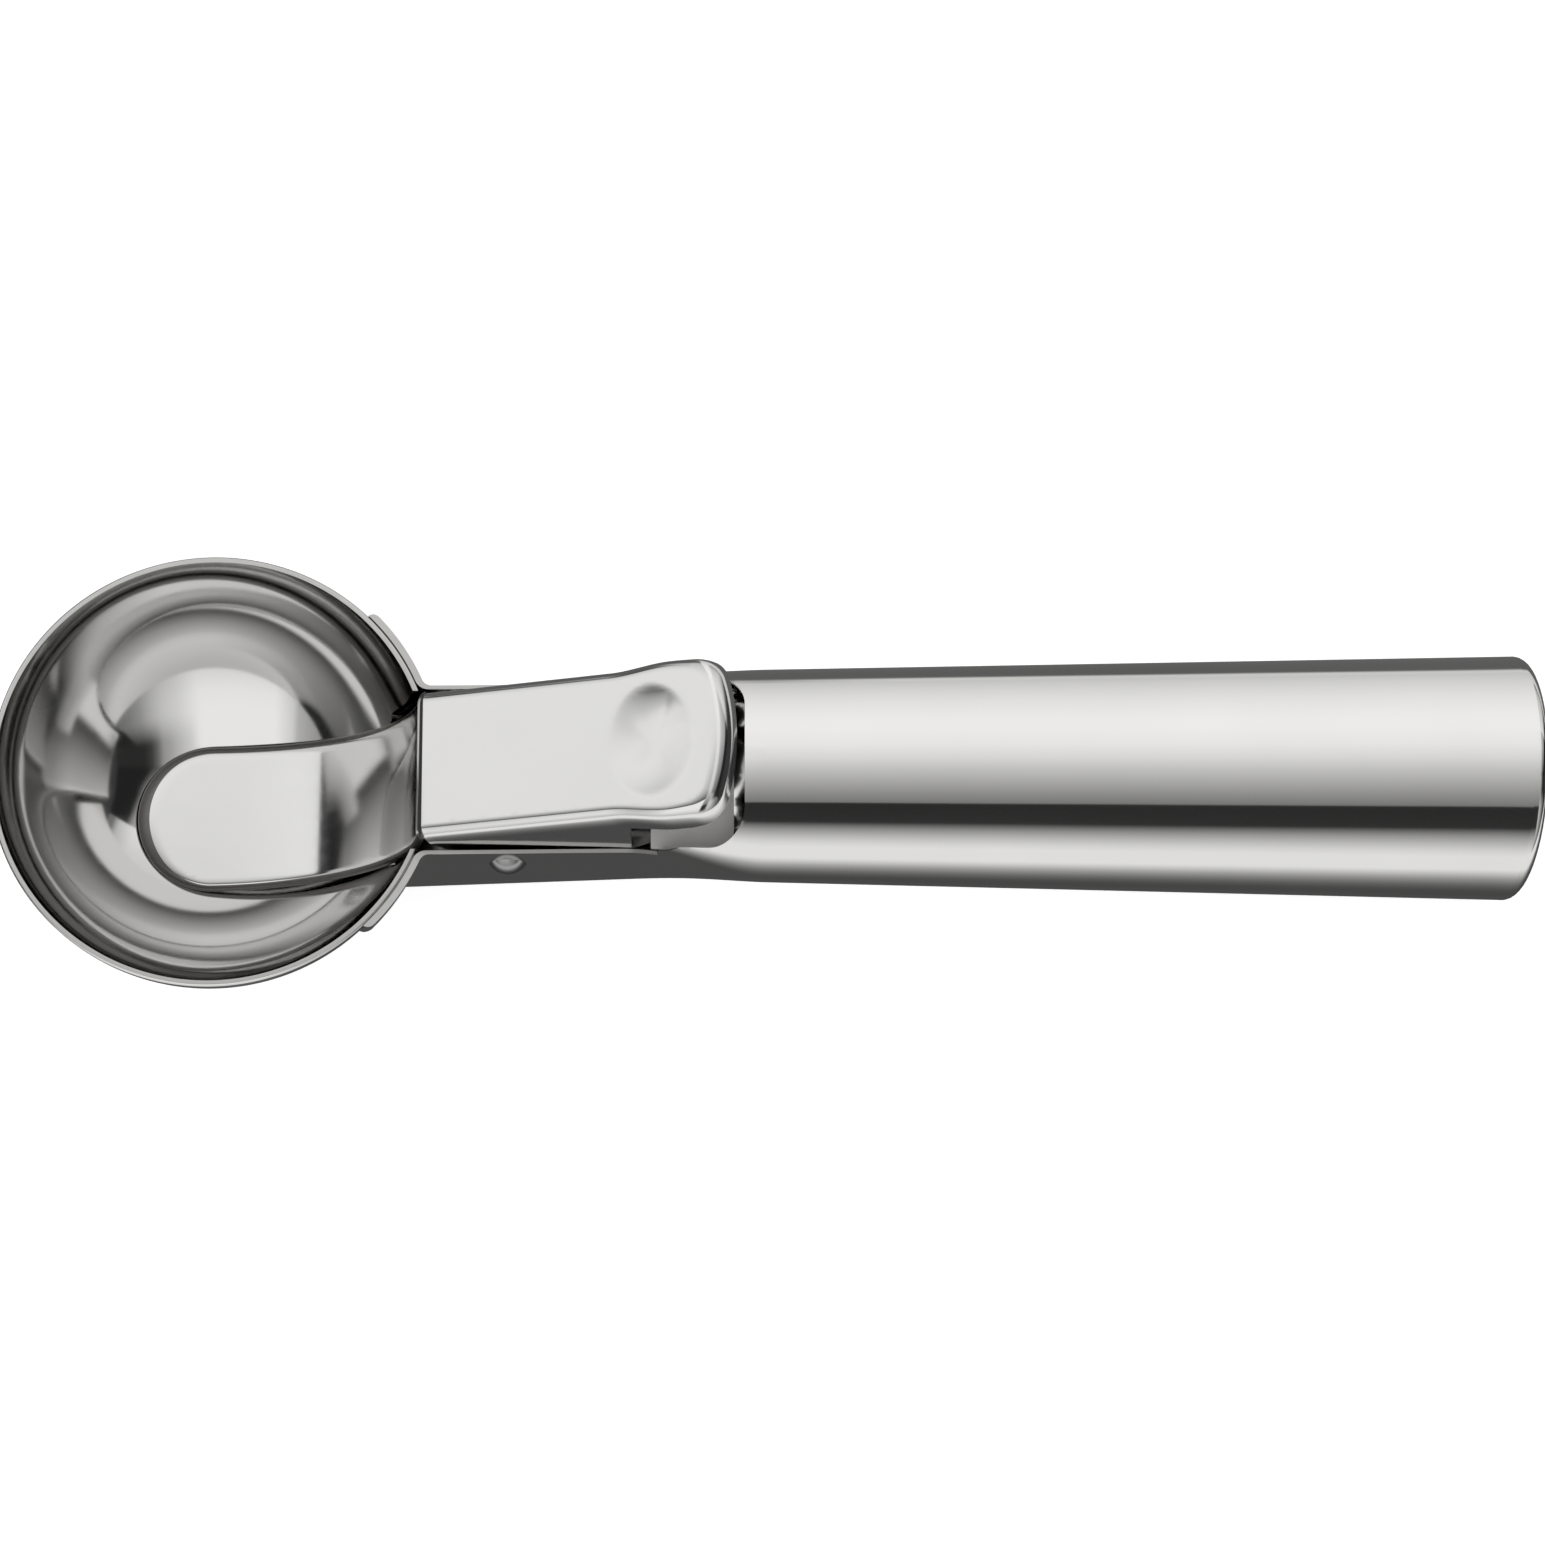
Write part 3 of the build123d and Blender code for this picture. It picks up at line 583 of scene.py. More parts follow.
def handle_mesh():
    """Neck, tube and wings, open over the neck and at the thumb cut-out."""
    places = ring_places()
    neck_xs = steps(RIM_RADIUS - NECK_UNDER_BOWL, NECK_END, NECK_ROWS)
    xs = neck_xs + steps(NECK_END, TUBE_START, TRANSITION_ROWS)[1:-1]
    rows = [[(handle_point(x, 0, p), handle_point(x, SHELL_WALL, p)) for p in places] for x in xs]
    handle = Sheet()
    handle.grid(rows + tube_rows(places), around=True)
    sweep = RIM_RADIUS + WALL_SWEEP_AT
    wall_tops = [(0, 0), (WALL_RISE_START, 0)]
    for share in steps(0, 1, SWEEP_STEPS):
        rise = WALL_SWEEP_RISE * share**WALL_SWEEP_CURVE
        wall_tops.append((sweep + WALL_SWEEP_RUN * share, WALL_TOP_RISE + rise))
    above = wall_tops + [(wall_tops[-1][0], FAR), (0, FAR)]
    over_walls = prism([(x, -FAR, z) for x, z in above], (0, 2 * FAR, 0))
    cutters = [ball(WING_INSIDE), over_walls, cutout_prism()]
    wing_room = [(0, -WING_HEIGHT), (WALL_RISE_START, -WING_HEIGHT), (WALL_RISE_START, FAR), (0, FAR)]
    for side in (1, -1):
        y = side * (NECK_WIDTH / 2 - 2 * SHELL_WALL)
        cutters.append(prism([(x, y, z) for x, z in wing_room], (0, side * FAR, 0)))
    return joined([cut(handle.mesh("handle"), cutters), wing_mesh(1), wing_mesh(-1)])


def end_cap_mesh():
    """Disc on the slanted end, with its outer edge rounded."""
    profile = [(CAP_THICKNESS, 0)]
    for a in steps(0, math.pi / 2, CAP_STEPS):
        profile.append((CAP_ROUNDING * (1 - math.sin(a)), CAP_ROUNDING * (1 - math.cos(a))))
    profile += [(0, inset) for inset in CAP_RINGS]
    rings = [[slanted_end(place, inset, depth) for place in ring_places()] for depth, inset in profile]
    rows = [[(point, point) for point in ring] for ring in rings]
    cap = Sheet()
    cap.grid(rows, around=True)
    cap.faces.append([cap.corner(pair) for pair in dict.fromkeys(rows[-1])])
    return new_mesh("end cap", cap.top, cap.faces)


# Lever

LEVER_WAY = unit(LEVER_SLOPE_DEG)
LEVER_UP = unit(LEVER_SLOPE_DEG + 90)


def on_lever(u, v, w):
    """Point from distances along the lever, across it and above its top."""
    return FOLD + LEVER_WAY * u + Vector((0, v, 0)) + LEVER_UP * w


def to_lever(x, z):
    """Distances along the lever and above its top of a place seen from the side."""
    offset = Vector((x, 0, z)) - FOLD
    return offset.dot(LEVER_WAY), offset.dot(LEVER_UP)


def tongue_bends():
    """Bends of the strip seen from the side, from the plate to the tip, and where the plate starts.
    A bend is (centre, radius, start angle, end angle, 1 where its top is outside and -1 where inside)."""
    turn_angle = math.radians(TONGUE_FLOOR_TURN_DEG - 90)
    floor_centre = TONGUE_FLOOR + Vector((0, 0, TONGUE_FLOOR_RADIUS))
    turn = floor_centre + unit(TONGUE_FLOOR_TURN_DEG - 90) * TONGUE_FLOOR_RADIUS
    inward = -unit(TONGUE_FLOOR_TURN_DEG - 90)
    rise = FOLD - turn
    rise_radius = rise.dot(rise) / (2 * rise.dot(inward))
    rise_centre = turn + inward * rise_radius
    below = FOLD - LEVER_UP * LEVER_FOLD - rise_centre
    along = below.dot(LEVER_WAY)
    plate_start = -along + math.sqrt(along**2 - below.dot(below) + (rise_radius + LEVER_FOLD) ** 2)
    fold_centre = on_lever(plate_start, 0, -LEVER_FOLD)
    rise_start = math.atan2(fold_centre.z - rise_centre.z, fold_centre.x - rise_centre.x)
    tip_centre = TONGUE_FLOOR + Vector((0, 0, TONGUE_TIP_RADIUS))
    down = -math.pi / 2
    bends = [
        (fold_centre, LEVER_FOLD, math.radians(LEVER_SLOPE_DEG + 90), rise_start + math.pi, 1),
        (rise_centre, rise_radius, rise_start, turn_angle, -1),
        (floor_centre, TONGUE_FLOOR_RADIUS, turn_angle, down, -1),
        (tip_centre, TONGUE_TIP_RADIUS, down, 2 * down, -1),
    ]
    return bends, plate_start


BENDS, PLATE_START = tongue_bends()


def pad_half(u):
    """Half the width of the lever's top, which flares into the pad."""
    return mix(LEVER_WIDTH, PAD_WIDTH, between(u, PAD_FLARE_START, PAD_FLARE_END)) / 2


def roll(u):
    """Radius of the rolled edge, which grows towards the rear of the pad."""
    return mix(LEVER_EDGE, PAD_ROLL, between(u, PAD_FLARE_END, LEVER_LENGTH - PAD_ROLL_FULL_RUN))


def on_flange_end():
    """Distance along the lever to the end of its side flanges."""
    return to_lever(RIM_RADIUS + FLANGE_END, -FLANGE_END_DROP)[0]


def pad_edge():
    """Edge of plate and pad from the fold round the rear and back: (u, v, outward u, outward v)."""
    end_centre = LEVER_LENGTH - PAD_END_RADIUS
    corner_v = PAD_WIDTH / 2 - PAD_CORNER
    reach = math.sqrt((PAD_END_RADIUS - PAD_CORNER) ** 2 - corner_v**2)
    corner_u = end_centre + reach
    rear_angle = math.atan2(corner_v, reach)
    flange_end = on_flange_end()
    us = steps(PLATE_START, flange_end - FLANGE_END_STEP, LEVER_SIDE_STEPS)
    us += steps(flange_end + FLANGE_END_STEP, corner_u, LEVER_SIDE_STEPS)[:-1]
    side = []
    for u in us:
        lean = (pad_half(u + SMALL) - pad_half(u - SMALL)) / (2 * SMALL)
        length = math.hypot(1, lean)
        side.append((u, pad_half(u), -lean / length, 1 / length))
    arcs = [(corner_u, corner_v, PAD_CORNER, a) for a in steps(math.pi / 2, rear_angle, PAD_CORNER_STEPS)]
    arcs += [(end_centre, 0, PAD_END_RADIUS, a) for a in steps(rear_angle, 0, PAD_END_STEPS)[1:-1]]
    for u, v, radius, a in arcs:
        side.append((u + radius * math.cos(a), v + radius * math.sin(a), math.cos(a), math.sin(a)))
    rear = [(LEVER_LENGTH, 0, 1, 0)]
    return side + rear + [(u, -v, nu, -nv) for u, v, nu, nv in reversed(side)]


def flange_depth(u):
    """Depth of the side flange below the lever's top: a hull of its two ends and the eye on the pivot."""
    eye_u, eye_w = to_lever(PIN.x, PIN.z)
    ends = [(LEVER_EDGE, -SKIRT_DEPTH), to_lever(RIM_RADIUS + FLANGE_END, -FLANGE_END_DROP)]
    under_eye = steps(math.pi, math.tau, EYE_STEPS)
    eye = [(eye_u + EAR_RADIUS * math.cos(a), eye_w + EAR_RADIUS * math.sin(a)) for a in under_eye]
    lower = []
    for p in sorted(ends + eye):
        while len(lower) > 1:
            (au, aw), (bu, bw) = lower[-2:]
            if (bu - au) * (p[1] - aw) - (bw - aw) * (p[0] - au) > 0:
                break
            lower.pop()
        lower.append(p)
    for (au, aw), (bu, bw) in zip(lower, lower[1:]):
        if au <= u <= bu:
            return -mix(aw, bw, (u - au) / (bu - au))
    return SKIRT_DEPTH


def skirt_depth(u):
    """Depth of the edge below the lever's top: the flange, its upright end, the pad's skirt and rear lip."""
    end = on_flange_end()
    if u < end:
        start = min((u - PLATE_START) / FLANGE_START_RUN, 1)
        return mix(FLANGE_START_DEPTH, flange_depth(u), math.sqrt(1 - (1 - start) ** 2))
    lip = (u - LEVER_LENGTH + REAR_LIP_RUN) / REAR_LIP_RUN
    flange = flange_depth(end) - (u - end) / math.tan(math.radians(LEVER_SLOPE_DEG))
    return max(mix(SKIRT_DEPTH, REAR_LIP_DEPTH, max(lip, 0)), flange)


def dish(u, v):
    """Height of the thumb dimple at a place on the pad: an oval, steep at its sides and soft fore and aft."""
    along, over = (u - DIMPLE_AT) / (DIMPLE_LENGTH / 2), v / (DIMPLE_WIDTH / 2)
    out = math.hypot(along, over)
    if not 0 < out < 1:
        return -DIMPLE_DEPTH if out == 0 else 0
    plain = 1 - out ** mix(DIMPLE_END_POWER, DIMPLE_SIDE_POWER, (over / out) ** DIMPLE_SIDE_FOCUS)
    return -DIMPLE_DEPTH * mix(plain, (1 - out**2) ** 2, DIMPLE_FRONT_SOFTNESS * ease(-along))


def filled(loop, spacing):
    """Triangles of (a, b) corners that fill a loop, with inner points on a grid."""
    low_a, high_a = min(a for a, b in loop), max(a for a, b in loop)
    low_b, high_b = min(b for a, b in loop), max(b for a, b in loop)
    points = [Vector(p) for p in loop]
    for a in steps(low_a, high_a, math.ceil((high_a - low_a) / spacing))[1:-1]:
        for b in steps(low_b, high_b, math.ceil((high_b - low_b) / spacing))[1:-1]:
            place = Vector((a, b))
            if all((place - p).length > spacing / 2 for p in points[:len(loop)]):
                points.append(place)
    edges = [(i, (i + 1) % len(loop)) for i in range(len(loop))]
    found = delaunay_2d_cdt(points, edges, [], 1, 1e-6)
    return [[tuple(found[0][i]) for i in face] for face in found[2]]


def edge_profile(radius, depth):
    """Section of the lever's edge, rolled over, bowed, then straight down to its depth, and its reach.
    A place is (distance out from the flat top, drop, turn)."""
    first, last = math.radians(LEVER_EDGE_TURN_DEG), math.radians(90 - FLANGE_LEAN_DEG)
    profile = [(radius * math.sin(a), radius * (1 - math.cos(a)), a) for a in steps(0, first, EDGE_STEPS)]
    out, drop, _ = profile[-1]
    room = max(depth - drop - FLANGE_BELOW_BOW, FLANGE_LEAST_BOW)
    last = min(last, math.acos(max(math.cos(first) - room / FLANGE_BOW, 0)))
    for a in steps(first, last, BOW_STEPS)[1:]:
        bow = (math.sin(a) - math.sin(first), math.cos(first) - math.cos(a))
        profile.append((out + FLANGE_BOW * bow[0], drop + FLANGE_BOW * bow[1], a))
    out, drop, _ = profile[-1]
    for share in steps(0, 1, FLANGE_STEPS)[1:]:
        down = mix(drop, max(depth, drop + FLANGE_LEAST_DROP), share)
        profile.append((out + (down - drop) / math.tan(last), down, last))
    return profile, out


def plate_sheet():
    """Plate and pad: the rolled edge with flanges, skirt and lip, round a flat top with the dimple."""
    sheet = Sheet()

    def pair(u, v, w, way):
        top = on_lever(u, v - LEVER_SHIFT, w)
        return tuple(top), tuple(top - way * LEVER_SHEET)

    columns, inner = [], []
    for u, v, nu, nv in pad_edge():
        profile, reach = edge_profile(roll(u), skirt_depth(u))
        outward = LEVER_WAY * nu + Vector((0, nv, 0))
        u, v = u - nu * reach, v - nv * reach
        inner.append((u, v))
        column = []
        for out, drop, turn in profile:
            way = outward * math.sin(turn) + LEVER_UP * math.cos(turn)
            column.append(pair(u + nu * out, v + nv * out, -drop, way))
        columns.append(column)
    sheet.grid(list(zip(*columns)))
    for corners in filled(inner, FILL_SPACING):
        sheet.face([pair(u, v, dish(u, v), LEVER_UP) for u, v in corners])
    return sheet


def on_tongue(a, y, h):
    """Point at a distance down the strip from the plate, across it, and above its top."""
    for centre, radius, start, end, outward in BENDS:
        length = radius * abs(end - start)
        if a <= length:
            break
        a -= length
    angle = start + math.copysign(a / radius, end - start)
    way = Vector((math.cos(angle), 0, math.sin(angle)))
    return centre + way * (radius + outward * h) + Vector((0, y, 0))


def tongue_edge():
    """Edge of the tongue from the fold round its tip and back, as (a, y, outward a, outward y)."""
    half = TONGUE_WIDTH / 2
    round_centre = half - TONGUE_TIP
    to_floor = sum(radius * abs(end - start) for _, radius, start, end, _ in BENDS[:3])
    before_floor = math.asin((round_centre + TONGUE_FLOOR_AT) / TONGUE_FLOOR_RADIUS)
    round_from = to_floor - TONGUE_FLOOR_RADIUS * before_floor
    side = []
    for a in steps(0, round_from, TONGUE_SIDE_STEPS)[:-1]:
        x = on_tongue(a, 0, 0).x
        waist = mix(half, TONGUE_WAIST / 2, between(x, round_centre, TONGUE_FLARE_AT))
        flare = between(x, TONGUE_FLARE_AT, RIM_RADIUS)
        side.append((a, mix(waist, TONGUE_WIDTH_AT_FOLD / 2, flare), 0, 1))
    for t in steps(0, math.pi / 2, TONGUE_TIP_STEPS)[:-1]:
        side.append((round_from + half * math.sin(t), half * math.cos(t), math.sin(t), math.cos(t)))
    return side + [(round_from + half, 0, 1, 0)] + [(a, -y, na, -ny) for a, y, na, ny in reversed(side)]


def tongue_sheet():
    """Tongue with its rounded edge, whose lower rows and cut have the second finish: dark steel that is
    partly the cut's own duller steel and partly painted shade along the edge.
    """
    edge = tongue_edge()
    length = max(a for a, _, _, _ in edge)
    runs = []
    for _, _, na, ny in edge:
        side_run = mix(TONGUE_NEAR_RUN, TONGUE_FAR_RUN, ease(ny + 1))
        runs.append(mix(side_run, TONGUE_TIP_RUN, na**2))

    def pair(a, y, h):
        y -= LEVER_SHIFT + TONGUE_SKEW * ease(a / length)
        return tuple(on_tongue(a, y, h)), tuple(on_tongue(a, y, -LEVER_SHEET))

    def inside(share):
        """The edge, moved in by a share of its rounding's run."""
        return [(a - na * run * share, y - ny * run * share) for (a, y, na, ny), run in zip(edge, runs)]

    rows = []
    for t in steps(0, math.pi / 2, EDGE_STEPS):
        drop = TONGUE_EDGE * (1 - math.cos(t))
        rows.append([pair(a, y, -drop) for a, y in inside(1 - math.sin(t))])
    sheet = Sheet(edge_mark=1)
    sheet.grid(rows[:TONGUE_PLAIN_ROWS + 1])
    # The lower rows of the rounding take the dark second finish as painted shade.
    sheet.grid(rows[TONGUE_PLAIN_ROWS:], mark=1)
    for corners in filled(inside(1), FILL_SPACING):
        sheet.face([pair(a, y, 0) for a, y in corners])
    return sheet


def lever_mesh():
    return joined([plate_sheet().mesh("plate"), tongue_sheet().mesh("tongue")])


# Spring

def spring_path():
    """Middle of the wire: foot on the neck's floor, coil round the sleeve, foot under the lever."""
    first = 270 + SPRING_FLOOR_LEG_DEG
    last = 90 + SPRING_LEVER_LEG_DEG - 360 * SPRING_TURNS
    length = SPRING_PITCH * (first - last) / 360
    coil = []
    for share in steps(0, 1, COIL_STEPS * SPRING_TURNS):
        turn = unit(mix(first, last, share)) * SPRING_RADIUS
        coil.append(PIN + turn + Vector((0, length * (share - 0.5), 0)))
    floor_z = SHELL_WALL + SPRING_WIRE / 2 - neck_drop(PIN.x)
    floor_way, lever_way = -unit(first - 90), unit(last - 90)
    floor_foot = coil[0] + floor_way * ((floor_z - coil[0].z) / floor_way.z)
    room = (FOLD - LEVER_UP * (LEVER_SHEET + SPRING_WIRE / 2) - coil[-1]).dot(LEVER_UP)
    lever_foot = coil[-1] + lever_way * (room / lever_way.dot(LEVER_UP))
    floor_leg = [mix(floor_foot, coil[0], share) for share in (0, 0.5)]
    lever_leg = [mix(coil[-1], lever_foot, share) for share in (0.5, 1)]
    return floor_leg + coil + lever_leg


def spring_mesh(path):
    """Round wire along a path."""
    rings = []
    angles = [math.tau * k / WIRE_SIDES for k in range(WIRE_SIDES)]
    for i, point in enumerate(path):
        way = (path[min(i + 1, len(path) - 1)] - path[max(i - 1, 0)]).normalized()
        out = way.cross(Vector((0, 1, 0))).normalized()
        other = way.cross(out)
        ways = [out * math.cos(a) + other * math.sin(a) for a in angles]
        rings.append([point + outward * (SPRING_WIRE / 2) for outward in ways])
    points = [p for ring in rings for p in ring]
    faces = [list(range(WIRE_SIDES)), list(range(len(points) - WIRE_SIDES, len(points)))]
    for start in range(0, len(points) - WIRE_SIDES, WIRE_SIDES):
        for k in range(WIRE_SIDES):
            a, b = start + k, start + (k + 1) % WIRE_SIDES
            faces.append((a, b, b + WIRE_SIDES, a + WIRE_SIDES))
    return new_mesh("spring", points, faces)


# Finishes

class Value:
    """A number that varies over a surface. Arithmetic on it adds Math nodes."""

    def __init__(self, finish, socket):
        self.finish, self.socket = finish, socket

    def math(self, operation, a, b):
        return self.finish.value("Math", {"operation": operation}, {0: a, 1: b})

    def __add__(self, other):
        return self.math("ADD", self, other)

    def __radd__(self, other):
        return self.math("ADD", other, self)

    def __sub__(self, other):
        return self.math("SUBTRACT", self, other)

    def __rsub__(self, other):
        return self.math("SUBTRACT", other, self)

    def __mul__(self, other):
        return self.math("MULTIPLY", self, other)

    def __rmul__(self, other):
        return self.math("MULTIPLY", other, self)

    def between(self, low, high):
        """Eased share of the way from low to high."""
        sockets = {"Value": self, "From Min": low, "From Max": high}
        return self.finish.value("MapRange", {"interpolation_type": "SMOOTHSTEP"}, sockets)


class Finish:
    """Nodes of a material or of the world, built from values."""

    def __init__(self, owner):
        self.owner = owner
        self.owner.use_nodes = True
        self.tree = owner.node_tree
        self.tree.nodes.clear()

    def node(self, kind, settings=None, sockets=None):
        node = self.tree.nodes.new("ShaderNode" + kind)
        for name, setting in (settings or {}).items():
            setattr(node, name, setting)
        for name, given in (sockets or {}).items():
            if isinstance(given, Value):
                self.tree.links.new(given.socket, node.inputs[name])
            else:
                node.inputs[name].default_value = given
        return node

    def value(self, kind, settings=None, sockets=None, output=0):
        return Value(self, self.node(kind, settings, sockets).outputs[output])

    def place(self, scale):
        """Places on the piece in metres, stretched by a scale for each axis."""
        place = self.value("TexCoord", output="Object")
        return self.value("VectorMath", {"operation": "MULTIPLY"}, {0: place, 1: scale})

    def noise(self, scale, detail=2.0):
        return self.value("TexNoise", sockets={"Vector": self.place(scale), "Scale": 1.0, "Detail": detail})

    def colours(self, share, dark, light):
        sockets = {"Factor": share, "A": (*dark, 1), "B": (*light, 1)}
        return self.value("Mix", {"data_type": "RGBA"}, sockets, output="Result")

    def show(self, shader, output="OutputMaterial"):
        self.node(output, sockets={"Surface": shader})
        return self.owner


# Stretch of the noise along each axis, for a metre
CLOUD = (60, 60, 60)
LENGTHWISE = (12, 700, 700)
CROSSWISE = (200, 900, 200)
SPECKLED = (900, 900, 900)
GRAIN_HEIGHT = 0.00002


def steel(name, dark, light, roughness, grain, depth, lie=LENGTHWISE, metal=1.0):
    """Metal with a faint cloud in its colour and the fine lines of its finish, which vary its roughness."""
    finish = Finish(bpy.data.materials.new(name))
    cloud = finish.noise(CLOUD)
    lines = finish.noise(lie, detail=4)
    colour = finish.colours(cloud, dark, light)
    bump = finish.value("Bump", sockets={"Strength": depth, "Distance": GRAIN_HEIGHT, "Height": lines})
    sockets = {
        "Base Color": colour,
        "Metallic": metal,
        "Roughness": roughness + grain * lines,
        "Normal": bump,
    }
    return finish.show(finish.value("BsdfPrincipled", sockets=sockets))


def dress():
    """Shows each node in its finish. The rivet and its sleeve keep their solids."""
    polished = steel(
        "polished steel", (0.68, 0.675, 0.665), (0.72, 0.715, 0.705), roughness=0.05, grain=0.05, depth=0.05)
    lever_steel = steel(
        "lever steel", (0.68, 0.675, 0.668), (0.72, 0.715, 0.708), roughness=0.07, grain=0.08, depth=0.08)
    filed = steel(
        "filed steel", (0.6, 0.595, 0.58), (0.66, 0.65, 0.64), roughness=0.35, grain=0.2, depth=0.3)
    # Dark steel on the tongue's cut and the lower rows of its rounding: partly the cut's own duller steel,
    # partly painted shade along the edge.
    cut_edge_and_painted_shade = steel(
        "cut edge", (0.14, 0.135, 0.13), (0.2, 0.195, 0.19), roughness=0.25, grain=0.15, depth=0.2)
    satin = steel(
        "satin steel", (0.64, 0.635, 0.62), (0.72, 0.71, 0.70), roughness=0.32, grain=0.2, depth=0.3,
        lie=CROSSWISE)
    blasted = steel(
        "blasted steel", (0.86, 0.85, 0.83), (0.95, 0.94, 0.92), roughness=0.5, grain=0.2, depth=0.4,
        lie=SPECKLED, metal=0.1)
    rivet_steel = steel(
        "rivet steel", (0.26, 0.26, 0.26), (0.36, 0.36, 0.36), roughness=0.16, grain=0.12, depth=0.3)
    wire = steel(
        "drawn wire", (0.46, 0.46, 0.46), (0.56, 0.56, 0.56), roughness=0.25, grain=0.15, depth=0.2)
    polished_pieces = {
        "bowl": ground(bowl_mesh()),
        "handle_shell": ground(handle_mesh()),
        "handle_end_cap": end_cap_mesh(),
    }
    for node, mesh in polished_pieces.items():
        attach(add_piece(node, mesh, (polished, filed)), "scoop")
    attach(add_piece("ejector_lever", lever_mesh(), (lever_steel, cut_edge_and_painted_shade)), "lever")
    path = spring_path()
    spring = add_piece("return_spring", spring_mesh(path), (wire,))
    tuple(REST @ path[-3])
    tuple(REST @ path[-1])
    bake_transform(spring)
    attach(add_piece("handle_bulkhead", shelf_mesh(), (blasted,)), "scoop")
    for node, finish in (("pivot_rivet", rivet_steel), ("pivot_sleeve", satin)):
        mesh = frame["nodes"][node].data
        mesh.materials.clear()
        mesh.materials.append(finish)


# Studio, in metres: softboxes curved about the X axis, with places along X and degrees from the zenith
# towards +Y. A GLOW or FADE gives brightness by place, and a pair gives where something starts and ends.

PANEL_RADIUS = 0.6
PANEL_AXIS_HEIGHT = 0.02
PANEL_ENDS = (-0.95, 0.9)
PANEL_STEPS = 74
DARKEST_GLOW = 0.02

BACK_DEG = (88, 31)
BACK_STEPS = 28
BACK_GLOW = [(31, 1.0), (35, 0.98), (47, 0.88), (57, 0.82), (70, 0.75), (80, 0.6), (88, 0.25)]
BACK_FADE = [(0.5, 1), (0.7, 0.7), (0.8, 0.2)]
BACK_DARK_X = (-0.25, -0.4)
BACK_DARK_DEG = (58, 66)
BACK_DARKNESS = 0.9

OVERHEAD_DEG = (31, -22)
OVERHEAD_STEPS = 53
OVERHEAD_GLOW = [
    (-22, 0.05), (-17, 0.13), (-12, 0.27), (-5, 0.45), (9, 0.76), (15, 1.0), (22, 1.06), (31, 1.0),
]
OVERHEAD_FADE = [(0, 1), (0.16, 0.8), (0.3, 0.6), (0.6, 0.4)]
OVERHEAD_END = [(-22, 0.385), (0, 0.55), (31, 0.643)]
OVERHEAD_END_SOFTNESS = 0.12

FRONT_DEG = (-22, -92)
FRONT_STEPS = 70
FRONT_GLOW = [(-92, 0.6), (-80, 0.8), (-66, 0.96), (-56, 1.08), (-45, 1.12)]
FRONT_FADE = [
    (-0.9, 0.36), (-0.75, 0.42), (-0.6, 0.52), (-0.55, 0.74), (-0.48, 0.86), (-0.4, 1), (0.04, 1),
    (0.17, 0.78), (0.28, 0.66), (0.48, 0.33), (0.6, 0.24), (0.75, 0.18), (0.9, 0.1),
]
FRONT_TOP = [(0.3, -19.5), (0.4, -22), (0.55, -27.4), (0.7, -39.8), (0.85, -48)]
FRONT_SOFTNESS = [(-0.1, 4), (0.12, 6), (0.2, 9), (0.28, 15), (0.4, 12), (0.55, 4)]

SIDE_GLOW = [
    (0.08, 0.9), (0.113, 0.8), (0.18, 0.64), (0.25, 0.47), (0.3, 0.4), (0.34, 0.18), (0.4, 0.06),
    (0.47, 0.03),
]
SIDE_TOP_DEG = (-10, -15)
SIDE_LOW_DEG = (-26, -48)
SIDE_START_X = (0.05, 0.11)

HANDLE_PANEL_RADIUS = 0.11
HANDLE_PANEL_ENDS = (-0.01, 0.125)
HANDLE_GLOW = [
    (-92, 1.04), (-85, 0.89), (-78, 0.66), (-71, 0.42), (-62, 0.04), (-41.8, 0.03), (-41, 0.26),
    (-32, 0.37), (-20, 0.55), (-8, 0.74), (4, 0.96), (17, 1.12), (33, 1.19), (43, 1.19), (50, 1.16),
    (66, 1.07), (80, 0.95), (92, 0.83), (100, 0.74),
]

FLOOR_REACH = 3.0
# Where the floor's painted shadow near the scoop gives way to painted light, across and along the scoop, in
# metres.
NEAR_PAINTED_SHADOW_EDGE = (0.022, 0.074)
REAR_PAINTED_SHADOW_EDGE = (0.07, 0.09)
REAR_PAINTED_SHADOW_EDGE_X = (-0.03, 0.02)
FLOOR_MIDDLE = (-0.001, 0.001)


def glow_material(name, gridded=False):
    """Light as bright as the panel's glow says. A gridded panel can be seen only from straight below."""
    finish = Finish(bpy.data.materials.new(name))
    glow = finish.value("Attribute", {"attribute_name": "glow"}, output="Fac")
    light = finish.value("Emission", sockets={"Color": glow, "Strength": 1.0})
    finish.owner.cycles.emission_sampling = "NONE"
    if not gridded:
        return finish.show(light)
    slant = finish.value("LayerWeight", sockets={"Blend": 0.5}, output="Facing")
    clear = finish.value("BsdfTransparent")
    return finish.show(finish.value("MixShader", sockets={0: slant.between(0.02, 0.06), 1: light, 2: clear}))


def curve(stops, at):
    """Value at a place on a line through stops of (place, value)."""
    for (start, low), (end, high) in zip(stops, stops[1:]):
        if at <= end:
            return mix(low, high, min(max((at - start) / (end - start), 0), 1))
    return stops[-1][1]


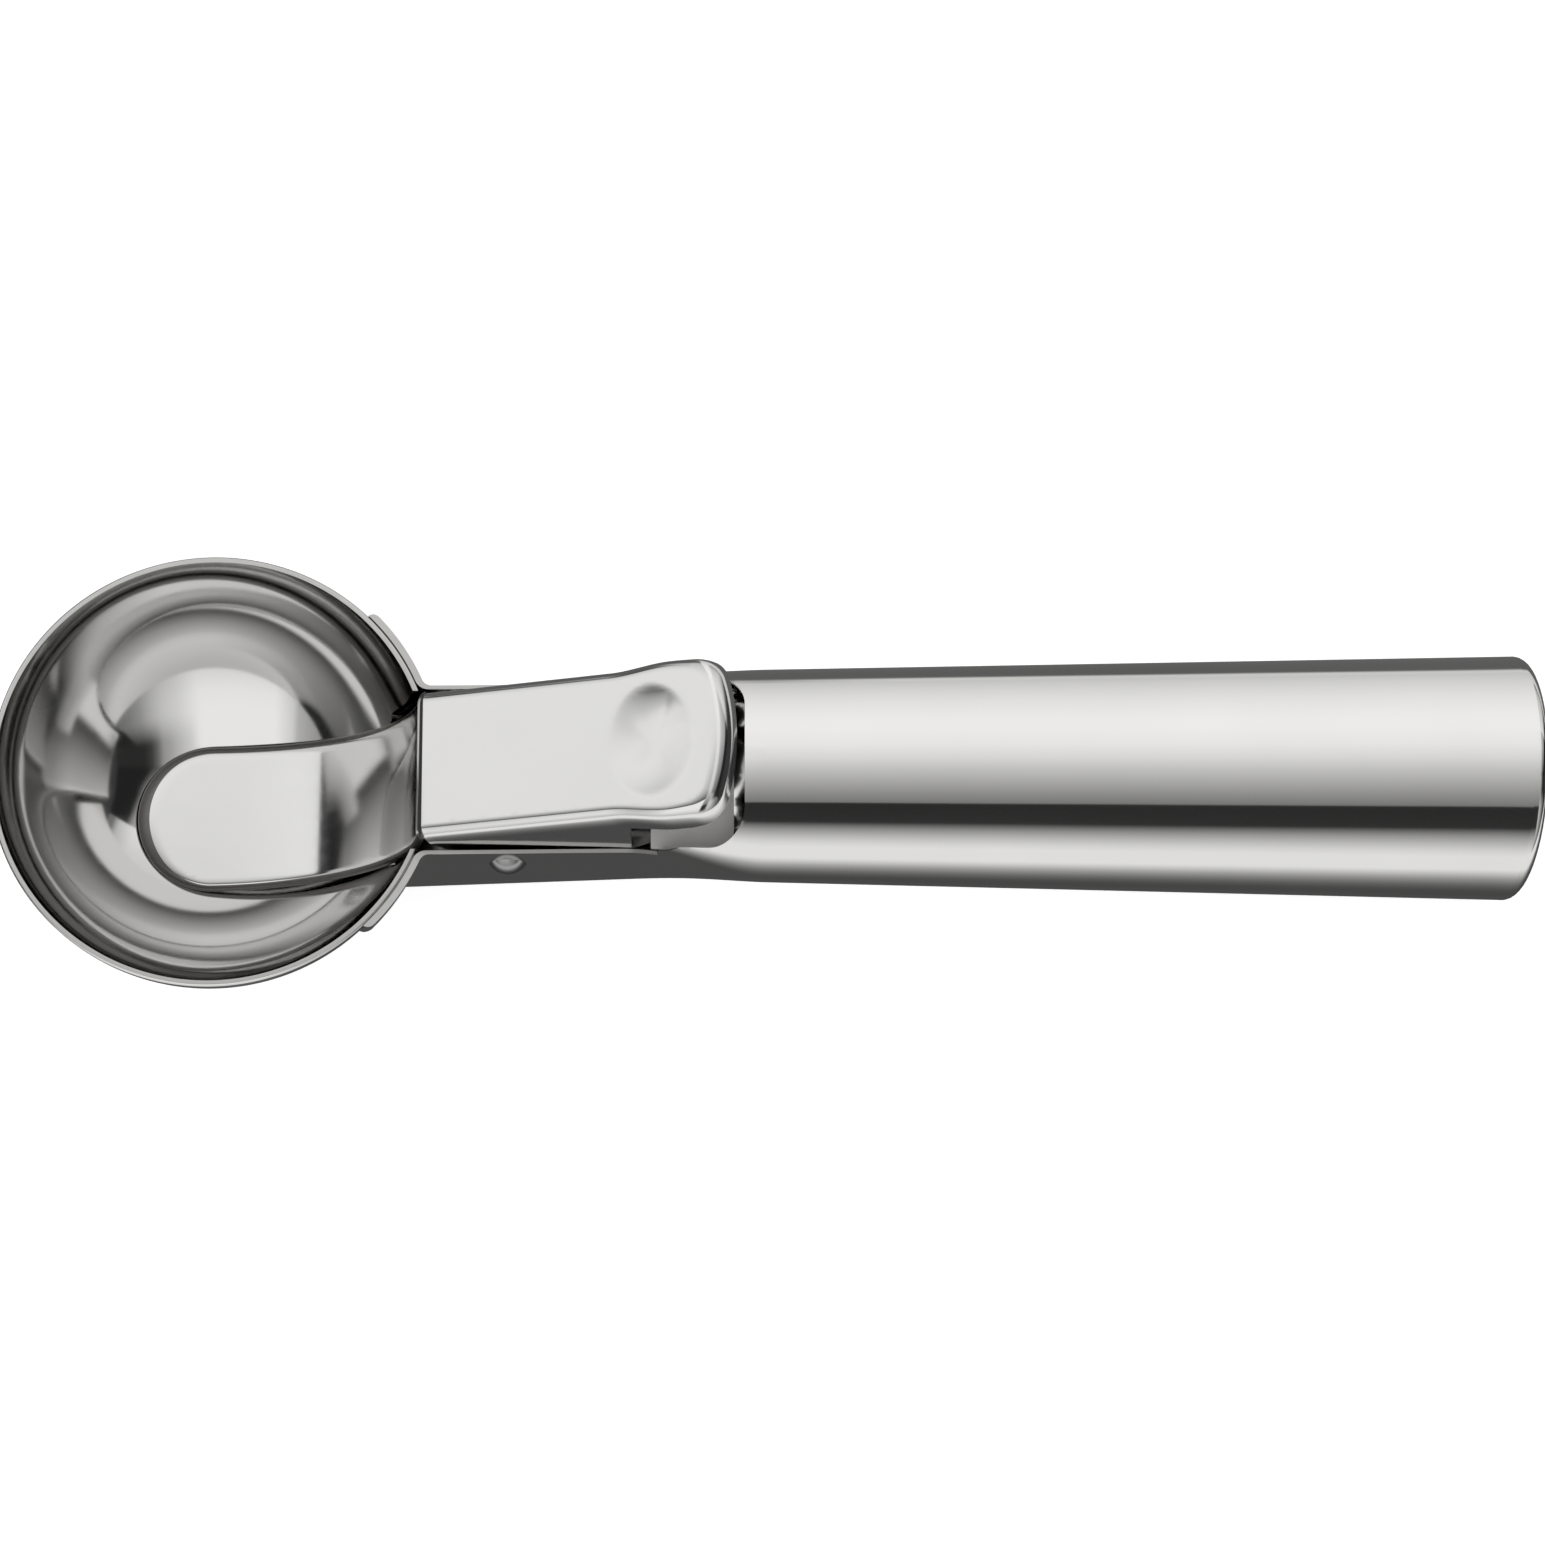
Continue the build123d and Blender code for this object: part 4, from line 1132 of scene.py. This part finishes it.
def light_panel(name, radius, xs, angles, glow, material, shines=True):
    """Panel curved about the X axis, over places along X and degrees from the zenith towards +Y."""
    points, shares, faces = [], [], []
    for degrees in angles:
        angle = math.radians(degrees)
        for x in xs:
            points.append((x, radius * math.sin(angle), PANEL_AXIS_HEIGHT + radius * math.cos(angle)))
            shares.append(max(glow(x, degrees), DARKEST_GLOW))
    wide = len(xs)
    for i in range(len(angles) - 1):
        for k in range(wide - 1):
            corner = i * wide + k
            faces.append((corner, corner + 1, corner + wide + 1, corner + wide))
    mesh = bpy.data.meshes.new(name)
    mesh.from_pydata(points, [], faces)
    mesh.attributes.new("glow", "FLOAT", "POINT").data.foreach_set("value", shares)
    mesh.materials.append(material)
    panel = bpy.data.objects.new(name, mesh)
    bpy.context.scene.collection.objects.link(panel)
    panel.visible_camera = False
    panel.visible_diffuse = shines
    panel.visible_shadow = False


def back_glow(x, degrees):
    """Dark in its low corner behind the bowl."""
    corner = between(x, *BACK_DARK_X) * between(degrees, *BACK_DARK_DEG)
    return curve(BACK_GLOW, degrees) * curve(BACK_FADE, x) * (1 - BACK_DARKNESS * corner)


def front_glow(x, degrees):
    """The front panel below its slanted top, and a side light that takes over past the bowl."""
    top = curve(FRONT_TOP, x)
    front = between(degrees, top, top - curve(FRONT_SOFTNESS, x))
    front *= curve(FRONT_GLOW, degrees) * curve(FRONT_FADE, x)
    side = curve(SIDE_GLOW, x) * between(degrees, *SIDE_TOP_DEG)
    return mix(front, side, between(x, *SIDE_START_X) * (1 - between(degrees, *SIDE_LOW_DEG)))


def overhead_glow(x, degrees):
    """The overhead panel up to its slanted end, or the front panel where that is brighter."""
    end = curve(OVERHEAD_END, degrees)
    overhead = curve(OVERHEAD_GLOW, degrees) * curve(OVERHEAD_FADE, x)
    return max(overhead * between(x, end, end - OVERHEAD_END_SOFTNESS), front_glow(x, degrees))


def handle_glow(x, degrees):
    return curve(HANDLE_GLOW, degrees)


def floor_material():
    """White floor that shows its shadow to the camera. To every other ray it glows instead, with a painted
    shadow dark close to the scoop and painted light further out.
    """
    finish = Finish(bpy.data.materials.new("pale floor with painted shadow"))
    is_camera = finish.value("LightPath", output="Is Camera Ray")
    place = finish.value("TexCoord", output="Object")
    along = finish.value("SeparateXYZ", sockets={"Vector": place}, output="X")
    across = finish.value("SeparateXYZ", sockets={"Vector": place}, output="Y")
    # Painted shadow on the near side: dark close to the scoop, painted light further out.
    near_painted_light = (0 - across).between(*NEAR_PAINTED_SHADOW_EDGE)
    near_painted_shadow_and_light = finish.colours(near_painted_light, (0.08, 0.08, 0.08), (1.04, 1.04, 1.03))
    # Painted shadow behind the scoop: painted light only further back, and only on the +X side.
    rear_painted_light = across.between(*REAR_PAINTED_SHADOW_EDGE) * along.between(*REAR_PAINTED_SHADOW_EDGE_X)
    rear_painted_shadow_and_light = finish.colours(rear_painted_light, (0.14, 0.14, 0.14), (0.8, 0.8, 0.79))
    sides = {"Factor": across.between(*FLOOR_MIDDLE), "A": near_painted_shadow_and_light, "B": rear_painted_shadow_and_light}
    seen = finish.value("Mix", {"data_type": "RGBA"}, sides, output="Result")
    paper = finish.value("BsdfDiffuse", sockets={"Color": (0.9, 0.9, 0.9, 1)})
    white = finish.value("Emission", sockets={"Color": (1, 1, 1, 1), "Strength": 0.72})
    shown = finish.value("AddShader", sockets={0: paper, 1: white})
    # To every ray but the camera's, the floor glows with this painted light and shadow.
    painted_floor_glow = finish.value("Emission", sockets={"Color": seen, "Strength": 1.0})
    return finish.show(finish.value("MixShader", sockets={"Fac": is_camera, 1: painted_floor_glow, 2: shown}))


def surroundings():
    """Dim world that the camera sees as white."""
    air = Finish(bpy.data.worlds.new("studio"))
    is_camera = air.value("LightPath", output="Is Camera Ray")
    shade = air.colours(is_camera, (0.05, 0.05, 0.052), (1, 1, 1))
    background = air.value("Background", sockets={"Color": shade, "Strength": 1.0})
    return air.show(background, "OutputWorld")


def studio():
    reach = FLOOR_REACH
    mesh = bpy.data.meshes.new("floor")
    corners = [(-reach, -reach, 0), (reach, -reach, 0), (reach, reach, 0), (-reach, reach, 0)]
    mesh.from_pydata(corners, [], [(0, 1, 2, 3)])
    mesh.materials.append(floor_material())
    floor = bpy.data.objects.new("floor", mesh)
    bpy.context.scene.collection.objects.link(floor)
    softbox = glow_material("softbox")
    along = steps(*PANEL_ENDS, PANEL_STEPS)
    light_panel("back softbox", PANEL_RADIUS, along, steps(*BACK_DEG, BACK_STEPS), back_glow, softbox)
    overhead_angles = steps(*OVERHEAD_DEG, OVERHEAD_STEPS)
    light_panel("overhead softbox", PANEL_RADIUS, along, overhead_angles, overhead_glow, softbox)
    light_panel("front softbox", PANEL_RADIUS, along, steps(*FRONT_DEG, FRONT_STEPS), front_glow, softbox)
    gridded = glow_material("gridded softbox", gridded=True)
    angles = sorted({angle for angle, _ in HANDLE_GLOW} | set(range(-92, 101, 2)))
    light_panel(
        "handle softbox", HANDLE_PANEL_RADIUS, HANDLE_PANEL_ENDS, angles, handle_glow, gridded, shines=False)
    bpy.context.scene.world = surroundings()
    bpy.context.scene.view_settings.view_transform = "Standard"


# Camera

CAMERA_TARGET = Vector((70.65, -0.39, 0))
CAMERA_HEIGHT_DEG = 75.0
CAMERA_DISTANCE = 800.0
VIEW_WIDTH = 194.4


def add_camera():
    """Camera above the front of the scoop, placed in the drawing."""
    data = bpy.data.cameras.new("camera")
    data.sensor_width = 36
    data.lens = data.sensor_width * CAMERA_DISTANCE / VIEW_WIDTH
    data.clip_start, data.clip_end = 0.05, 20
    camera = bpy.data.objects.new("camera", data)
    bpy.context.scene.collection.objects.link(camera)
    height = math.radians(CAMERA_HEIGHT_DEG)
    back = Vector((0, -math.cos(height), math.sin(height)))
    up = Vector((0, math.sin(height), math.cos(height)))
    place = Matrix((Vector((1, 0, 0)), up, back)).transposed().to_4x4()
    place.translation = CAMERA_TARGET + back * CAMERA_DISTANCE
    seen = REST @ place
    turn = seen.to_3x3().normalized().to_quaternion()
    camera.matrix_world = Matrix.LocRotScale(seen.translation, turn, None)
    bpy.context.scene.camera = camera


dress()
studio()
add_camera()
